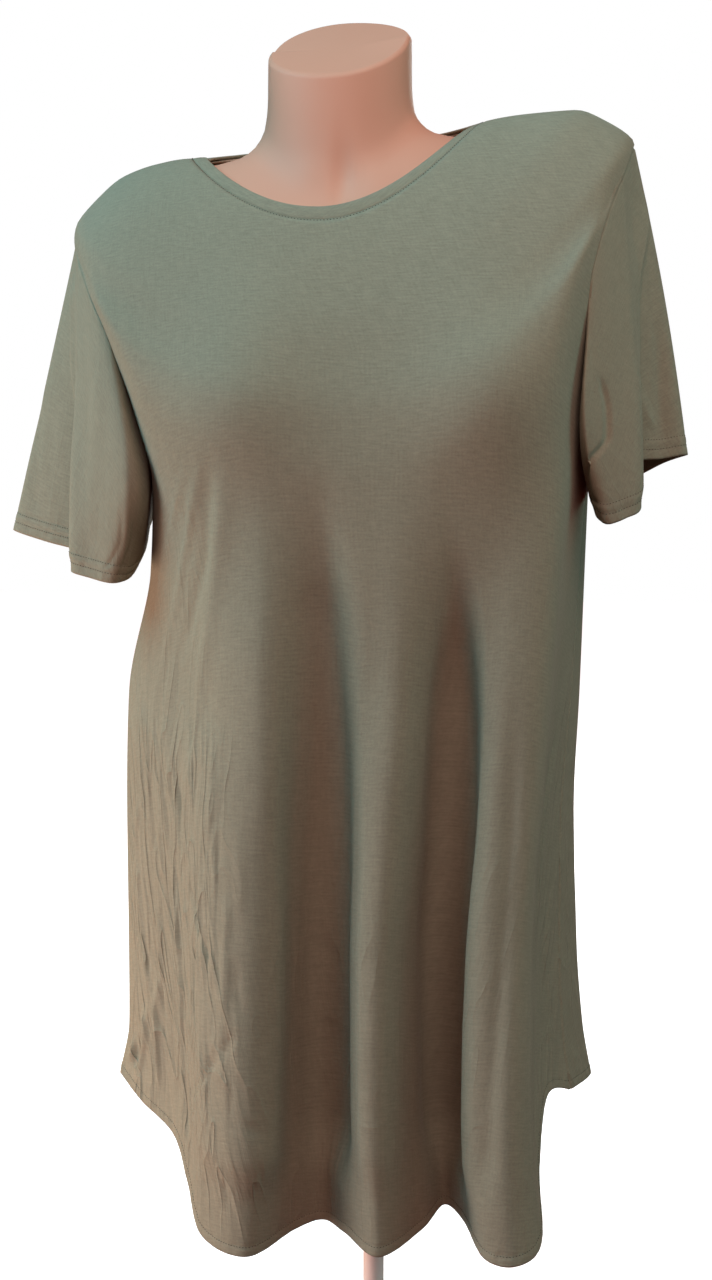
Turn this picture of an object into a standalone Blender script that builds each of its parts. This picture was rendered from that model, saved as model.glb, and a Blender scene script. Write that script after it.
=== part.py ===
"""A long, short-sleeved jersey t-shirt on a limbless dress form with a round stand.

Metres, +Z up. The origin is under the middle of the stand's base, and the
shirt's front faces -Y. The cloth panels are thin walls through the sections in
the tables below. A section is a closed line round the body: its front half and
its back half meet at the two side seams. Level 0 is the neckline, level 2 the
shoulder tips, level 6 the underarms and level 11 the hem.
"""

import math
from collections import namedtuple

import bmesh
import bpy
from mathutils import Vector

# Cloth and seams
WALL = 0.0014
BAND_WALL = 0.0022
TAPE_WALL = 0.0010
SEAM_GAP = 0.0004
BAND_LEVEL = 0.25
BAND_LIFT = 0.0003
SHOULDER_LEVEL = 2.0
UNDERARM_LEVEL = 6.0
HEM_LEVEL = 11.0
ARMHOLE_HALF_WIDTH = 0.052
# Level by which one level's length is about 42 mm near the neckline
LEVELS_PER_METRE = 24.0

# How finely the walls are divided
FRONT_COLUMNS = 36
BACK_COLUMNS = 22
PANEL_LEVELS = (
    0.6, 1.0, 1.4, 1.7, 2.0, 2.4, 2.8, 3.3, 3.8, 4.4, 5.0,
    5.5, 6.0, 6.6, 7.2, 7.9, 8.6, 9.3, 10.0, 10.5, 11.0,
)
SLEEVE_COLUMNS = 26
SLEEVE_ROWS = 7
FORM_LEVELS = (0.0, 0.26, 0.6, 1.0, 1.4, 1.7, 2.0, 2.4, 2.8, 3.3, 3.8, 4.4, 5.0, 6.0, 7.2, 8.6, 10.0, 10.7, 11.0)
ROUND_STEPS = 24

# Form: how far it lies under the outside of the cloth, under the neckband and over the shoulders
FORM_UNDER_NECKLINE = 0.0064
FORM_UNDER_CLOTH = 0.0029
FORM_SIDE_FLAT = 0.003
FORM_BOTTOM_Z = 0.370

# Stand
BASE_RADIUS = 0.150
BASE_THICKNESS = 0.005
BASE_RIM = 0.002
SOCKET_RADIUS = 0.018
SOCKET_HEIGHT = 0.034
SOCKET_BORE_DEPTH = 0.028
POLE_RADIUS = 0.0085
POLE_CLEARANCE = 0.0003
FLANGE_RADIUS = 0.045
FLANGE_THICKNESS = 0.005

# The plain sections. Side seams: x and z on each side, and the y of both. Middles: x, then
# y and z of the middle front and middle back. square is the fullness of the corners, and
# roll how soon the height leaves that of the middle: at 1 a round section is flat.
Section = namedtuple(
    "Section",
    "level left_x left_z right_x right_z side_y middle_x front_y front_z back_y back_z square roll",
)
SHIRT_SECTIONS = [
    Section(0.0, -0.1265, 1.0165, 0.0680, 1.0300, 0.004, -0.030, -0.075, 0.9665, 0.062, 1.030, 2.0, 2.0),
    Section(0.4, -0.143, 1.0160, 0.0850, 1.0365, 0.003, -0.027, -0.083, 0.951, 0.070, 1.015, 2.0, 2.0),
    Section(1.0, -0.166, 1.0125, 0.116, 1.0400, 0.002, -0.024, -0.094, 0.928, 0.082, 0.992, 2.0, 2.0),
    Section(1.4, -0.190, 1.0045, 0.145, 1.0410, 0.001, -0.020, -0.103, 0.906, 0.091, 0.972, 2.05, 2.0),
    Section(1.7, -0.208, 0.9930, 0.166, 1.0330, 0.000, -0.016, -0.110, 0.888, 0.096, 0.952, 2.05, 2.0),
    Section(2.0, -0.228, 0.9680, 0.1845, 1.0160, 0.000, -0.012, -0.116, 0.868, 0.102, 0.930, 2.1, 2.0),
    Section(3.0, -0.211, 0.9200, 0.1735, 0.9620, 0.000, -0.004, -0.127, 0.820, 0.110, 0.880, 2.2, 2.0),
    Section(4.0, -0.191, 0.8740, 0.1665, 0.9100, 0.000, 0.000, -0.130, 0.774, 0.112, 0.826, 2.3, 1.9),
    Section(5.0, -0.178, 0.8300, 0.1635, 0.8600, 0.000, 0.000, -0.130, 0.724, 0.110, 0.770, 2.35, 1.8),
    Section(6.0, -0.1705, 0.7900, 0.1610, 0.8180, 0.000, -0.002, -0.129, 0.680, 0.108, 0.716, 2.35, 1.7),
    Section(7.0, -0.1765, 0.7100, 0.1565, 0.7260, 0.000, -0.006, -0.127, 0.606, 0.107, 0.642, 2.3, 1.6),
    Section(8.0, -0.1985, 0.6100, 0.1515, 0.6220, 0.000, -0.012, -0.126, 0.520, 0.110, 0.556, 2.25, 1.5),
    Section(9.0, -0.2035, 0.5080, 0.1460, 0.5160, 0.000, -0.016, -0.127, 0.432, 0.117, 0.470, 2.2, 1.4),
    Section(10.0, -0.205, 0.4040, 0.1475, 0.4100, -0.001, -0.017, -0.129, 0.336, 0.121, 0.370, 2.2, 1.3),
    Section(10.6, -0.2065, 0.3300, 0.1520, 0.3420, -0.002, -0.016, -0.130, 0.276, 0.124, 0.300, 2.2, 1.3),
    Section(11.0, -0.2150, 0.2850, 0.1590, 0.2985, -0.003, -0.016, -0.131, 0.236, 0.126, 0.246, 2.2, 1.3),
]

# The hem's line, from the left side seam to the right: across is the place on the plain
# section that the point hangs from, -1 to 1. Its lobes and arches fade out upwards.
HemPoint = namedtuple("HemPoint", "across x y z")
FRONT_HEM = [
    HemPoint(-1.00, -0.2150, -0.003, 0.2850), HemPoint(-0.72, -0.1870, -0.032, 0.2755),
    HemPoint(-0.50, -0.1510, -0.064, 0.2665), HemPoint(-0.38, -0.1300, -0.100, 0.2490),
    HemPoint(-0.28, -0.1110, -0.132, 0.2270), HemPoint(-0.16, -0.0730, -0.150, 0.2254),
    HemPoint(-0.07, -0.0455, -0.112, 0.2250), HemPoint(-0.02, -0.0260, -0.098, 0.2260),
    HemPoint(0.04, -0.0060, -0.120, 0.2310), HemPoint(0.115, 0.0225, -0.150, 0.2340),
    HemPoint(0.20, 0.0500, -0.114, 0.2350), HemPoint(0.26, 0.0640, -0.084, 0.2373),
    HemPoint(0.33, 0.0800, -0.106, 0.2395), HemPoint(0.44, 0.0970, -0.152, 0.2412),
    HemPoint(0.54, 0.1200, -0.162, 0.2440), HemPoint(0.63, 0.1365, -0.138, 0.2480),
    HemPoint(0.73, 0.1345, -0.086, 0.2740), HemPoint(0.84, 0.1400, -0.042, 0.3090),
    HemPoint(1.00, 0.1590, -0.010, 0.2985),
]
BACK_HEM = [
    HemPoint(-1.00, -0.2150, -0.003, 0.2850), HemPoint(-0.80, -0.2050, 0.044, 0.2800),
    HemPoint(-0.58, -0.1640, 0.088, 0.2650), HemPoint(-0.40, -0.1140, 0.136, 0.2480),
    HemPoint(-0.22, -0.0700, 0.108, 0.2400), HemPoint(-0.04, -0.0260, 0.144, 0.2380),
    HemPoint(0.14, 0.0150, 0.114, 0.2420), HemPoint(0.32, 0.0560, 0.146, 0.2440),
    HemPoint(0.50, 0.0960, 0.106, 0.2560), HemPoint(0.68, 0.1420, 0.106, 0.2700),
    HemPoint(0.86, 0.1760, 0.046, 0.2880), HemPoint(1.00, 0.1590, -0.010, 0.2985),
]
# How much of the hem's shape shows at each level.
Growth = namedtuple("Growth", "level share")
HEM_GROWTH = [
    Growth(0.0, 0.0), Growth(3.6, 0.0), Growth(5.0, 0.06), Growth(6.0, 0.15), Growth(7.0, 0.32),
    Growth(8.0, 0.50), Growth(9.0, 0.68), Growth(10.0, 0.85), Growth(11.0, 1.0),
]

# Bust: where the cloth stands furthest forward over the form.
Mound = namedtuple("Mound", "x z width height out")
BUST = [
    Mound(-0.080, 0.838, 0.046, 0.060, 0.016),
    Mound(0.094, 0.842, 0.046, 0.060, 0.016),
]

# The form's own sections below the shoulders, where the cloth hangs clear of it.
FORM_SECTIONS = [
    Section(2.0, -0.225, 0.965, 0.181, 1.010, 0.000, -0.012, -0.114, 0.868, 0.100, 0.930, 2.1, 2.0),
    Section(3.0, -0.203, 0.916, 0.167, 0.957, 0.000, -0.004, -0.121, 0.820, 0.106, 0.880, 2.1, 2.0),
    Section(4.0, -0.176, 0.866, 0.154, 0.902, 0.000, 0.000, -0.112, 0.774, 0.104, 0.826, 2.1, 2.0),
    Section(5.0, -0.156, 0.820, 0.142, 0.850, 0.000, 0.000, -0.096, 0.732, 0.094, 0.770, 2.1, 2.0),
    Section(6.0, -0.142, 0.774, 0.130, 0.798, 0.000, -0.002, -0.084, 0.694, 0.084, 0.716, 2.1, 2.0),
    Section(7.0, -0.134, 0.700, 0.120, 0.714, 0.000, -0.006, -0.080, 0.640, 0.074, 0.658, 2.1, 2.0),
    Section(8.0, -0.148, 0.610, 0.122, 0.616, 0.000, -0.012, -0.080, 0.574, 0.078, 0.586, 2.1, 2.0),
    Section(9.0, -0.166, 0.520, 0.130, 0.522, 0.000, -0.016, -0.080, 0.500, 0.090, 0.506, 2.1, 2.0),
    Section(10.0, -0.172, 0.430, 0.132, 0.430, 0.000, -0.017, -0.078, 0.424, 0.096, 0.426, 2.1, 2.0),
    Section(10.7, -0.168, 0.376, 0.128, 0.376, 0.000, -0.016, -0.074, 0.376, 0.092, 0.376, 2.1, 2.0),
    Section(11.0, -0.162, 0.370, 0.122, 0.370, 0.000, -0.016, -0.068, 0.370, 0.086, 0.370, 2.1, 2.0),
]
# The neck, from its slanting cut down to the neckline.
NECK_SECTIONS = [
    Section(-6.0, -0.0765, 1.0892, 0.0233, 1.0967, 0.0, -0.0265, -0.0502, 1.0600, 0.0477, 1.1225, 2.0, 1.0),
    Section(-5.0, -0.0788, 1.0860, 0.0256, 1.0935, 0.0, -0.0265, -0.0525, 1.0565, 0.0500, 1.1190, 2.0, 1.0),
    Section(-4.0, -0.0795, 1.0560, 0.0260, 1.0640, 0.0, -0.0265, -0.0525, 1.0270, 0.0500, 1.0820, 2.0, 1.1),
    Section(-3.0, -0.0820, 1.0360, 0.0280, 1.0460, 0.0, -0.0265, -0.0530, 1.0040, 0.0490, 1.0560, 2.0, 1.3),
    Section(-2.0, -0.0900, 1.0215, 0.0345, 1.0350, 0.0, -0.0265, -0.0555, 0.9880, 0.0500, 1.0400, 2.0, 1.6),
    Section(-1.0, -0.1030, 1.0135, 0.0460, 1.0275, 0.0, -0.0275, -0.0620, 0.9740, 0.0530, 1.0310, 2.0, 1.9),
]

# The sleeves' hems, from the outermost point forwards, round the inner side and back.
# share is the part of the way round the armhole that the point hangs from.
Cuff = namedtuple("Cuff", "share x y z")
LEFT_CUFF = [
    Cuff(0.000, -0.2925, 0.004, 0.7370), Cuff(0.020, -0.2640, -0.010, 0.7290),
    Cuff(0.040, -0.2350, -0.022, 0.7225), Cuff(0.055, -0.2190, -0.036, 0.7160),
    Cuff(0.075, -0.2170, -0.056, 0.7110), Cuff(0.130, -0.2000, -0.073, 0.7065),
    Cuff(0.230, -0.1850, -0.070, 0.7035), Cuff(0.340, -0.1790, -0.048, 0.7070),
    Cuff(0.440, -0.1800, -0.018, 0.7170), Cuff(0.540, -0.1860, 0.014, 0.7240),
    Cuff(0.680, -0.1980, 0.046, 0.7270), Cuff(0.830, -0.2290, 0.058, 0.7300),
    Cuff(0.940, -0.2700, 0.036, 0.7350),
]
RIGHT_CUFF = [
    Cuff(0.000, 0.2325, 0.004, 0.7965), Cuff(0.020, 0.2180, -0.008, 0.7940),
    Cuff(0.040, 0.2030, -0.019, 0.7910), Cuff(0.055, 0.1945, -0.034, 0.7780),
    Cuff(0.075, 0.1930, -0.054, 0.7600), Cuff(0.130, 0.1840, -0.069, 0.7530),
    Cuff(0.230, 0.1720, -0.067, 0.7490), Cuff(0.340, 0.1660, -0.046, 0.7580),
    Cuff(0.440, 0.1650, -0.018, 0.7640), Cuff(0.540, 0.1660, 0.014, 0.7680),
    Cuff(0.680, 0.1720, 0.044, 0.7720), Cuff(0.830, 0.1910, 0.054, 0.7750),
    Cuff(0.940, 0.2180, 0.034, 0.7900),
]
LEFT_SLEEVE_BULGE = 0.000
RIGHT_SLEEVE_BULGE = 0.003

# Tape inside the back of the neckband, and the hanger loop at its left: where the loop's
# middle lies, half its length, its height and the share of that which is strap
TAPE_LEVELS = (0.05, 0.20)
TAPE_GAP = 0.0007
LOOP_TURN = 2.6
LOOP_LEVEL = 0.12
LOOP_HALF_LENGTH = 0.008
LOOP_RISE = 0.010
LOOP_STRAP_SHARE = 0.35
LOOP_WALL = 0.0010
LOOP_STEPS = 8

Colour = namedtuple("Colour", "name rgb roughness metallic")
JERSEY = Colour("khaki_jersey", (0.215, 0.222, 0.165), 0.85, 0.0)
BAND_JERSEY = Colour("khaki_neckband", (0.205, 0.212, 0.158), 0.85, 0.0)
TAPE = Colour("pale_tape", (0.50, 0.46, 0.38), 0.80, 0.0)
PLASTIC = Colour("form_plastic", (0.560, 0.330, 0.235), 0.45, 0.0)
STEEL = Colour("white_steel", (0.80, 0.80, 0.79), 0.35, 0.0)


def through(keys, values, at):
    """A smooth curve through values at rising keys, with no overshoot, read at one place."""
    if at <= keys[0]:
        return values[0]
    if at >= keys[-1]:
        return values[-1]
    after = next(i for i, key in enumerate(keys) if key >= at)
    before = after - 1
    span = keys[after] - keys[before]

    def slope(i):
        if i == 0:
            return (values[1] - values[0]) / (keys[1] - keys[0])
        if i == len(keys) - 1:
            return (values[i] - values[i - 1]) / (keys[i] - keys[i - 1])
        low = (values[i] - values[i - 1]) / (keys[i] - keys[i - 1])
        high = (values[i + 1] - values[i]) / (keys[i + 1] - keys[i])
        return 0.0 if low * high <= 0 else 2.0 * low * high / (low + high)

    t = (at - keys[before]) / span
    start = (2 * t**3 - 3 * t**2 + 1) * values[before] + (t**3 - 2 * t**2 + t) * span * slope(before)
    end = (3 * t**2 - 2 * t**3) * values[after] + (t**3 - t**2) * span * slope(after)
    return start + end


def column(table, key, name, at):
    """One named column of a table, read between its rows."""
    return through([getattr(row, key) for row in table], [getattr(row, name) for row in table], at)


def section_at(table, level):
    """The section between two rows of a table."""
    names = Section._fields[1:]
    return Section(level, *(column(table, "level", name, level) for name in names))


def along_points(table, turn, closed=False):
    """A row between the rows of a table of points, on a smooth line through them all."""
    last = len(table) if closed else len(table) - 1
    before = min(int(turn), last - 1)
    t = turn - before

    def row(i):
        if closed:
            return table[i % len(table)]
        return table[min(max(i, 0), len(table) - 1)]

    a, b, c, d = row(before - 1), row(before), row(before + 1), row(before + 2)
    values = [
        0.5 * (2 * q + (r - p) * t + (2 * p - 5 * q + 4 * r - s) * t**2 + (3 * q - p - 3 * r + s) * t**3)
        for p, q, r, s in zip(a, b, c, d)
    ]
    return type(table[0])(*values)


def armhole_gap(level):
    """How far the front and back edges stand from the side seam's plane at the armhole."""
    share = (level - SHOULDER_LEVEL) / (UNDERARM_LEVEL - SHOULDER_LEVEL)
    if not 0.0 < share < 1.0:
        return 0.0
    return ARMHOLE_HALF_WIDTH * math.sin(math.pi * share) ** 0.75


def half_section(section, half, across, gap=0.0):
    """A point of the front (-1) or back (+1) half of a section; across runs from -1, left, to 1, right."""
    angle = min(1.0, abs(across)) * math.pi / 2
    power = 2.0 / section.square
    side = math.sin(angle) ** power
    face = max(0.0, math.cos(angle)) ** power
    edge_x, edge_z = (section.left_x, section.left_z) if across < 0 else (section.right_x, section.right_z)
    edge_y = section.side_y + half * gap
    middle_y, middle_z = (section.front_y, section.front_z) if half < 0 else (section.back_y, section.back_z)
    return Vector((
        section.middle_x + (edge_x - section.middle_x) * side,
        edge_y + (middle_y - edge_y) * face,
        edge_z + (middle_z - edge_z) * max(0.0, math.cos(angle)) ** section.roll,
    ))


def bust_out(point, half):
    """How far the bust pushes a point of the front forwards."""
    if half > 0:
        return 0.0
    out = 0.0
    for mound in BUST:
        from_peak = ((point.x - mound.x) / mound.width) ** 2 + ((point.z - mound.z) / mound.height) ** 2
        out += mound.out * math.exp(-from_peak)
    return out


def shirt_point(half, turn, level):
    """A point of the shirt's outer face; turn runs along the half's hem table, row by row."""
    table = FRONT_HEM if half < 0 else BACK_HEM
    hem = along_points(table, turn)
    plain = half_section(section_at(SHIRT_SECTIONS, level), half, hem.across, armhole_gap(level))
    plain.y -= bust_out(plain, half)
    hung = Vector((hem.x, hem.y, hem.z)) - half_section(SHIRT_SECTIONS[-1], half, hem.across)
    return plain + hung * column(HEM_GROWTH, "level", "share", level)


def across_at(half, turn):
    """The place on the plain section that a turn stands for."""
    return along_points(FRONT_HEM if half < 0 else BACK_HEM, turn).across


def last_turn(half):
    """The turn of a half's right side seam; its left one is at 0."""
    return len(FRONT_HEM if half < 0 else BACK_HEM) - 1.0


def shirt_normal(half, turn, level):
    """The outward direction of the shirt's outer face. At a seam it lies in the seam's plane."""
    step = 0.02
    right = min(last_turn(half), turn + step)
    left = max(0.0, turn - step)
    low, high = max(0.0, level - step), min(HEM_LEVEL, level + step)
    along = shirt_point(half, right, level) - shirt_point(half, left, level)
    down = shirt_point(half, turn, high) - shirt_point(half, turn, low)
    normal = -half * down.cross(along)
    if turn in (0.0, last_turn(half)) and not armhole_gap(level):
        normal.y = 0.0
    return normal.normalized()


def seam_side(point, half):
    """The same point, moved half a seam gap away from the side and shoulder seams."""
    return point + Vector((0.0, half * SEAM_GAP / 2, 0.0))


def new_material(colour):
    """A plain material with one colour and roughness."""
    material = bpy.data.materials.get(colour.name) or bpy.data.materials.new(colour.name)
    material.use_nodes = True
    shader = material.node_tree.nodes["Principled BSDF"]
    shader.inputs["Base Color"].default_value = (*colour.rgb, 1.0)
    shader.inputs["Roughness"].default_value = colour.roughness
    shader.inputs["Metallic"].default_value = colour.metallic
    return material


def placed(name, loft, colour, collection):
    """A named object from a finished loft, smooth but for its sharp edges."""
    mesh = bpy.data.meshes.new(name)
    loft.to_mesh(mesh)
    loft.free()
    piece = bpy.data.objects.new(name, mesh)
    collection.objects.link(piece)
    mesh.materials.append(new_material(colour))
    mesh.shade_smooth()
    mesh.set_sharp_from_angle(angle=math.radians(50))
    return piece


def cloth(name, rows, normals, wall, ring, colour, collection):
    """A cloth wall: an outer skin through rows of points, an inner skin one wall inside it, and rims."""
    loft = bmesh.new()
    outer = [[loft.verts.new(point) for point in row] for row in rows]
    inner = [
        [loft.verts.new(point - normal * wall) for point, normal in zip(row, row_normals)]
        for row, row_normals in zip(rows, normals)
    ]
    skins = outer + inner[::-1]
    count = len(rows[0])
    for upper, lower in zip(skins, skins[1:] + skins[:1]):
        for i in range(count if ring else count - 1):
            j = (i + 1) % count
            loft.faces.new((upper[i], lower[i], lower[j], upper[j]))
    if not ring:
        for (upper, lower), (upper_in, lower_in) in zip(zip(outer, outer[1:]), zip(inner, inner[1:])):
            loft.faces.new((upper_in[0], lower_in[0], lower[0], upper[0]))
            loft.faces.new((upper[-1], lower[-1], lower_in[-1], upper_in[-1]))
    return placed(name, loft, colour, collection)


def evenly(low, high, count):
    """Numbers from low to high in equal steps."""
    return [low + (high - low) * i / count for i in range(count + 1)]


def turns(half, columns):
    """The places along a half's hem table where its columns stand, in the order that faces the cloth out."""
    places = evenly(0.0, last_turn(half), columns)
    return places if half < 0 else places[::-1]


def panel(name, half, columns, collection):
    """The front or back panel, from under the neckband to the hem."""
    places = turns(half, columns)
    levels = (BAND_LEVEL + SEAM_GAP * LEVELS_PER_METRE, *PANEL_LEVELS)
    rows = [[seam_side(shirt_point(half, turn, level), half) for turn in places] for level in levels]
    normals = [[shirt_normal(half, turn, level) for turn in places] for level in levels]
    return cloth(name, rows, normals, WALL, False, JERSEY, collection)


def neckband(collection):
    """The doubled band round the neckline, one ring just proud of the panels."""
    places = [(-1, turn) for turn in turns(-1, FRONT_COLUMNS)[:-1]]
    places += [(1, turn) for turn in turns(1, BACK_COLUMNS)[:-1]]
    levels = (0.0, BAND_LEVEL)
    normals = [[shirt_normal(half, turn, level) for half, turn in places] for level in levels]
    rows = [
        [shirt_point(half, turn, level) + normal * BAND_LIFT for (half, turn), normal in zip(places, row)]
        for level, row in zip(levels, normals)
    ]
    return cloth("neckband", rows, normals, BAND_WALL, True, BAND_JERSEY, collection)


def neck_tape(collection):
    """The pale tape that covers the neckband's seam inside the back, from shoulder to shoulder."""
    depth = BAND_WALL - BAND_LIFT + TAPE_GAP
    places = turns(1, BACK_COLUMNS)[1:-1]
    normals = [[shirt_normal(1, turn, level) for turn in places] for level in TAPE_LEVELS]
    rows = [
        [shirt_point(1, turn, level) - normal * depth for turn, normal in zip(places, row)]
        for level, row in zip(TAPE_LEVELS, normals)
    ]
    return cloth("neck_tape", rows, normals, TAPE_WALL, False, TAPE, collection)


def neck_loop(collection):
    """The small hanger loop, a strap bowed up from inside the tape."""
    depth = BAND_WALL - BAND_LIFT + TAPE_WALL + 2 * TAPE_GAP
    middle = shirt_point(1, LOOP_TURN, LOOP_LEVEL)
    inward = -shirt_normal(1, LOOP_TURN, LOOP_LEVEL)
    up = (shirt_point(1, LOOP_TURN, 0.0) - middle).normalized()
    along = up.cross(inward)
    foot = middle + inward * depth
    rows = []
    for size in (1.0, 1.0 - LOOP_STRAP_SHARE):
        rows.append([
            foot + size * (along * LOOP_HALF_LENGTH * math.cos(angle) + up * LOOP_RISE * math.sin(angle))
            for angle in evenly(0.0, math.pi, LOOP_STEPS)
        ])
    normals = [[-inward] * len(row) for row in rows]
    return cloth("neck_loop", rows, normals, LOOP_WALL, False, BAND_JERSEY, collection)


def armhole_point(side, share):
    """A point of the armhole's seam; share runs from the shoulder tip, down the front and up the back."""
    half = -1 if share < 0.5 else 1
    down = 2 * share if share < 0.5 else 2 * (1 - share)
    level = SHOULDER_LEVEL + (UNDERARM_LEVEL - SHOULDER_LEVEL) * down
    return shirt_point(half, 0.0 if side < 0 else last_turn(half), level)


def sleeve_point(side, cuff, bulge, turn, down):
    """A point of a sleeve's outer face; turn runs round its hem table, and down from seam to hem."""
    shares = [*(row.share for row in cuff), 1.0]
    share = through(range(len(shares)), shares, turn % len(cuff))
    hem = along_points(cuff, turn % len(cuff), closed=True)
    facing_up = math.cos(2 * math.pi * share)
    start = armhole_point(side, share) + Vector((side * (SEAM_GAP + WALL * abs(facing_up)), 0.0, 0.0))
    point = start.lerp(Vector((hem.x, hem.y, hem.z)), down)
    point.x += side * bulge * math.sin(math.pi * down) * max(0.0, facing_up)
    return point


def sleeve_normal(side, cuff, bulge, turn, down):
    """The outward direction of a sleeve's outer face."""
    step = 0.05
    low, high = max(0.0, down - step), min(1.0, down + step)
    after, before, below, above = (
        sleeve_point(side, cuff, bulge, *place)
        for place in ((turn + step, down), (turn - step, down), (turn, high), (turn, low))
    )
    return (-side * (below - above).cross(after - before)).normalized()


def sleeve(name, side, cuff, bulge, collection):
    """A short sleeve, from the armhole seam to its hem."""
    places = evenly(0.0, len(cuff), SLEEVE_COLUMNS)[:-1]
    if side > 0:
        places = places[::-1]
    downs = evenly(0.0, 1.0, SLEEVE_ROWS)
    rows = [[sleeve_point(side, cuff, bulge, turn, down) for turn in places] for down in downs]
    normals = [[sleeve_normal(side, cuff, bulge, turn, down) for turn in places] for down in downs]
    return cloth(name, rows, normals, WALL, True, JERSEY, collection)


def form_point(half, turn, level):
    """A point of the form: just under the cloth down to the bust, and slimmer than it below."""
    depth = through([BAND_LEVEL, 1.0], [FORM_UNDER_NECKLINE, FORM_UNDER_CLOTH], level)
    close = shirt_point(half, turn, level) - shirt_normal(half, turn, level) * depth
    gap = max(armhole_gap(level), FORM_SIDE_FLAT)
    own = half_section(section_at(FORM_SECTIONS, level), half, across_at(half, turn), gap)
    own.y -= bust_out(own, half)
    share = through([2.0, 3.4], [0.0, 1.0], level)
    point = close.lerp(own, share)
    point.y = half * max(half * point.y, FORM_SIDE_FLAT)
    return point


def dress_form(collection):
    """The limbless form: neck with a slanting cut, shoulders, bust and hips, in one moulding."""
    places = [(-1, turn) for turn in turns(-1, FRONT_COLUMNS)[::2]]
    places += [(1, turn) for turn in turns(1, BACK_COLUMNS)[::2]]
    rings = [
        [half_section(section, half, across_at(half, turn), FORM_SIDE_FLAT) for half, turn in places]
        for section in NECK_SECTIONS
    ]
    rings += [[form_point(half, turn, level) for half, turn in places] for level in FORM_LEVELS]
    loft = bmesh.new()
    lines = [[loft.verts.new(point) for point in ring] for ring in rings]
    for upper, lower in zip(lines, lines[1:]):
        for i in range(len(places)):
            j = (i + 1) % len(places)
            loft.faces.new((upper[i], lower[i], lower[j], upper[j]))
    loft.faces.new(lines[0])
    loft.faces.new(lines[-1][::-1])
    return placed("dress_form", loft, PLASTIC, collection)


def turned(name, profile, colour, collection):
    """A solid of revolution about the stand's axis, from a profile of radius and height, bottom to top."""
    mesh = bpy.data.meshes.new(name)
    mesh.from_pydata([(r, 0.0, z) for r, z in profile], [(i, i + 1) for i in range(len(profile) - 1)], [])
    piece = bpy.data.objects.new(name, mesh)
    collection.objects.link(piece)
    mesh.materials.append(new_material(colour))
    screw = piece.modifiers.new("turn", "SCREW")
    screw.steps = ROUND_STEPS
    screw.render_steps = ROUND_STEPS
    screw.use_merge_vertices = True
    screw.merge_threshold = 0.00005
    screw.use_normal_flip = True
    return piece


def stand(collection):
    """Base plate with its socket, pole, and the flange under the form."""
    bore = POLE_RADIUS + POLE_CLEARANCE
    socket_top = BASE_THICKNESS + SOCKET_HEIGHT
    bore_floor = socket_top - SOCKET_BORE_DEPTH
    turned("stand_base", [
        (0.0, 0.0), (BASE_RADIUS, 0.0), (BASE_RADIUS, BASE_THICKNESS - BASE_RIM),
        (BASE_RADIUS - BASE_RIM, BASE_THICKNESS), (SOCKET_RADIUS, BASE_THICKNESS),
        (SOCKET_RADIUS, socket_top), (bore, socket_top), (bore, bore_floor), (0.0, bore_floor),
    ], STEEL, collection)
    flange_top = FORM_BOTTOM_Z - POLE_CLEARANCE
    plate_bottom = flange_top - FLANGE_THICKNESS
    sleeve_bottom = plate_bottom - SOCKET_HEIGHT
    turned("stand_pole", [
        (0.0, bore_floor + POLE_CLEARANCE), (POLE_RADIUS, bore_floor + POLE_CLEARANCE),
        (POLE_RADIUS, plate_bottom - POLE_CLEARANCE), (0.0, plate_bottom - POLE_CLEARANCE),
    ], STEEL, collection)
    turned("stand_flange", [
        (0.0, plate_bottom), (bore, plate_bottom), (bore, sleeve_bottom), (SOCKET_RADIUS, sleeve_bottom),
        (SOCKET_RADIUS, plate_bottom), (FLANGE_RADIUS, plate_bottom), (FLANGE_RADIUS, flange_top),
        (0.0, flange_top),
    ], STEEL, collection)


def main():
    for old in list(bpy.data.objects):
        bpy.data.objects.remove(old)
    collection = bpy.data.collections.new("t-shirt on dress form")
    bpy.context.scene.collection.children.link(collection)
    panel("front", -1, FRONT_COLUMNS, collection)
    panel("back", 1, BACK_COLUMNS, collection)
    neckband(collection)
    neck_tape(collection)
    neck_loop(collection)
    sleeve("sleeve_left", -1, LEFT_CUFF, LEFT_SLEEVE_BULGE, collection)
    sleeve("sleeve_right", 1, RIGHT_CUFF, RIGHT_SLEEVE_BULGE, collection)
    dress_form(collection)
    stand(collection)


if __name__ == "__main__":
    main()
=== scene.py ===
"""The looks of a long jersey t-shirt on its dress form.

Metres, +Z up, in the frame's own place: the origin is under the middle of the stand's base
and the shirt's front faces -Y. Every cloth piece is a thin shell on the form of its solid,
with its folds, seams and stitches.
"""

import math
import random
from collections import namedtuple

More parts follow.
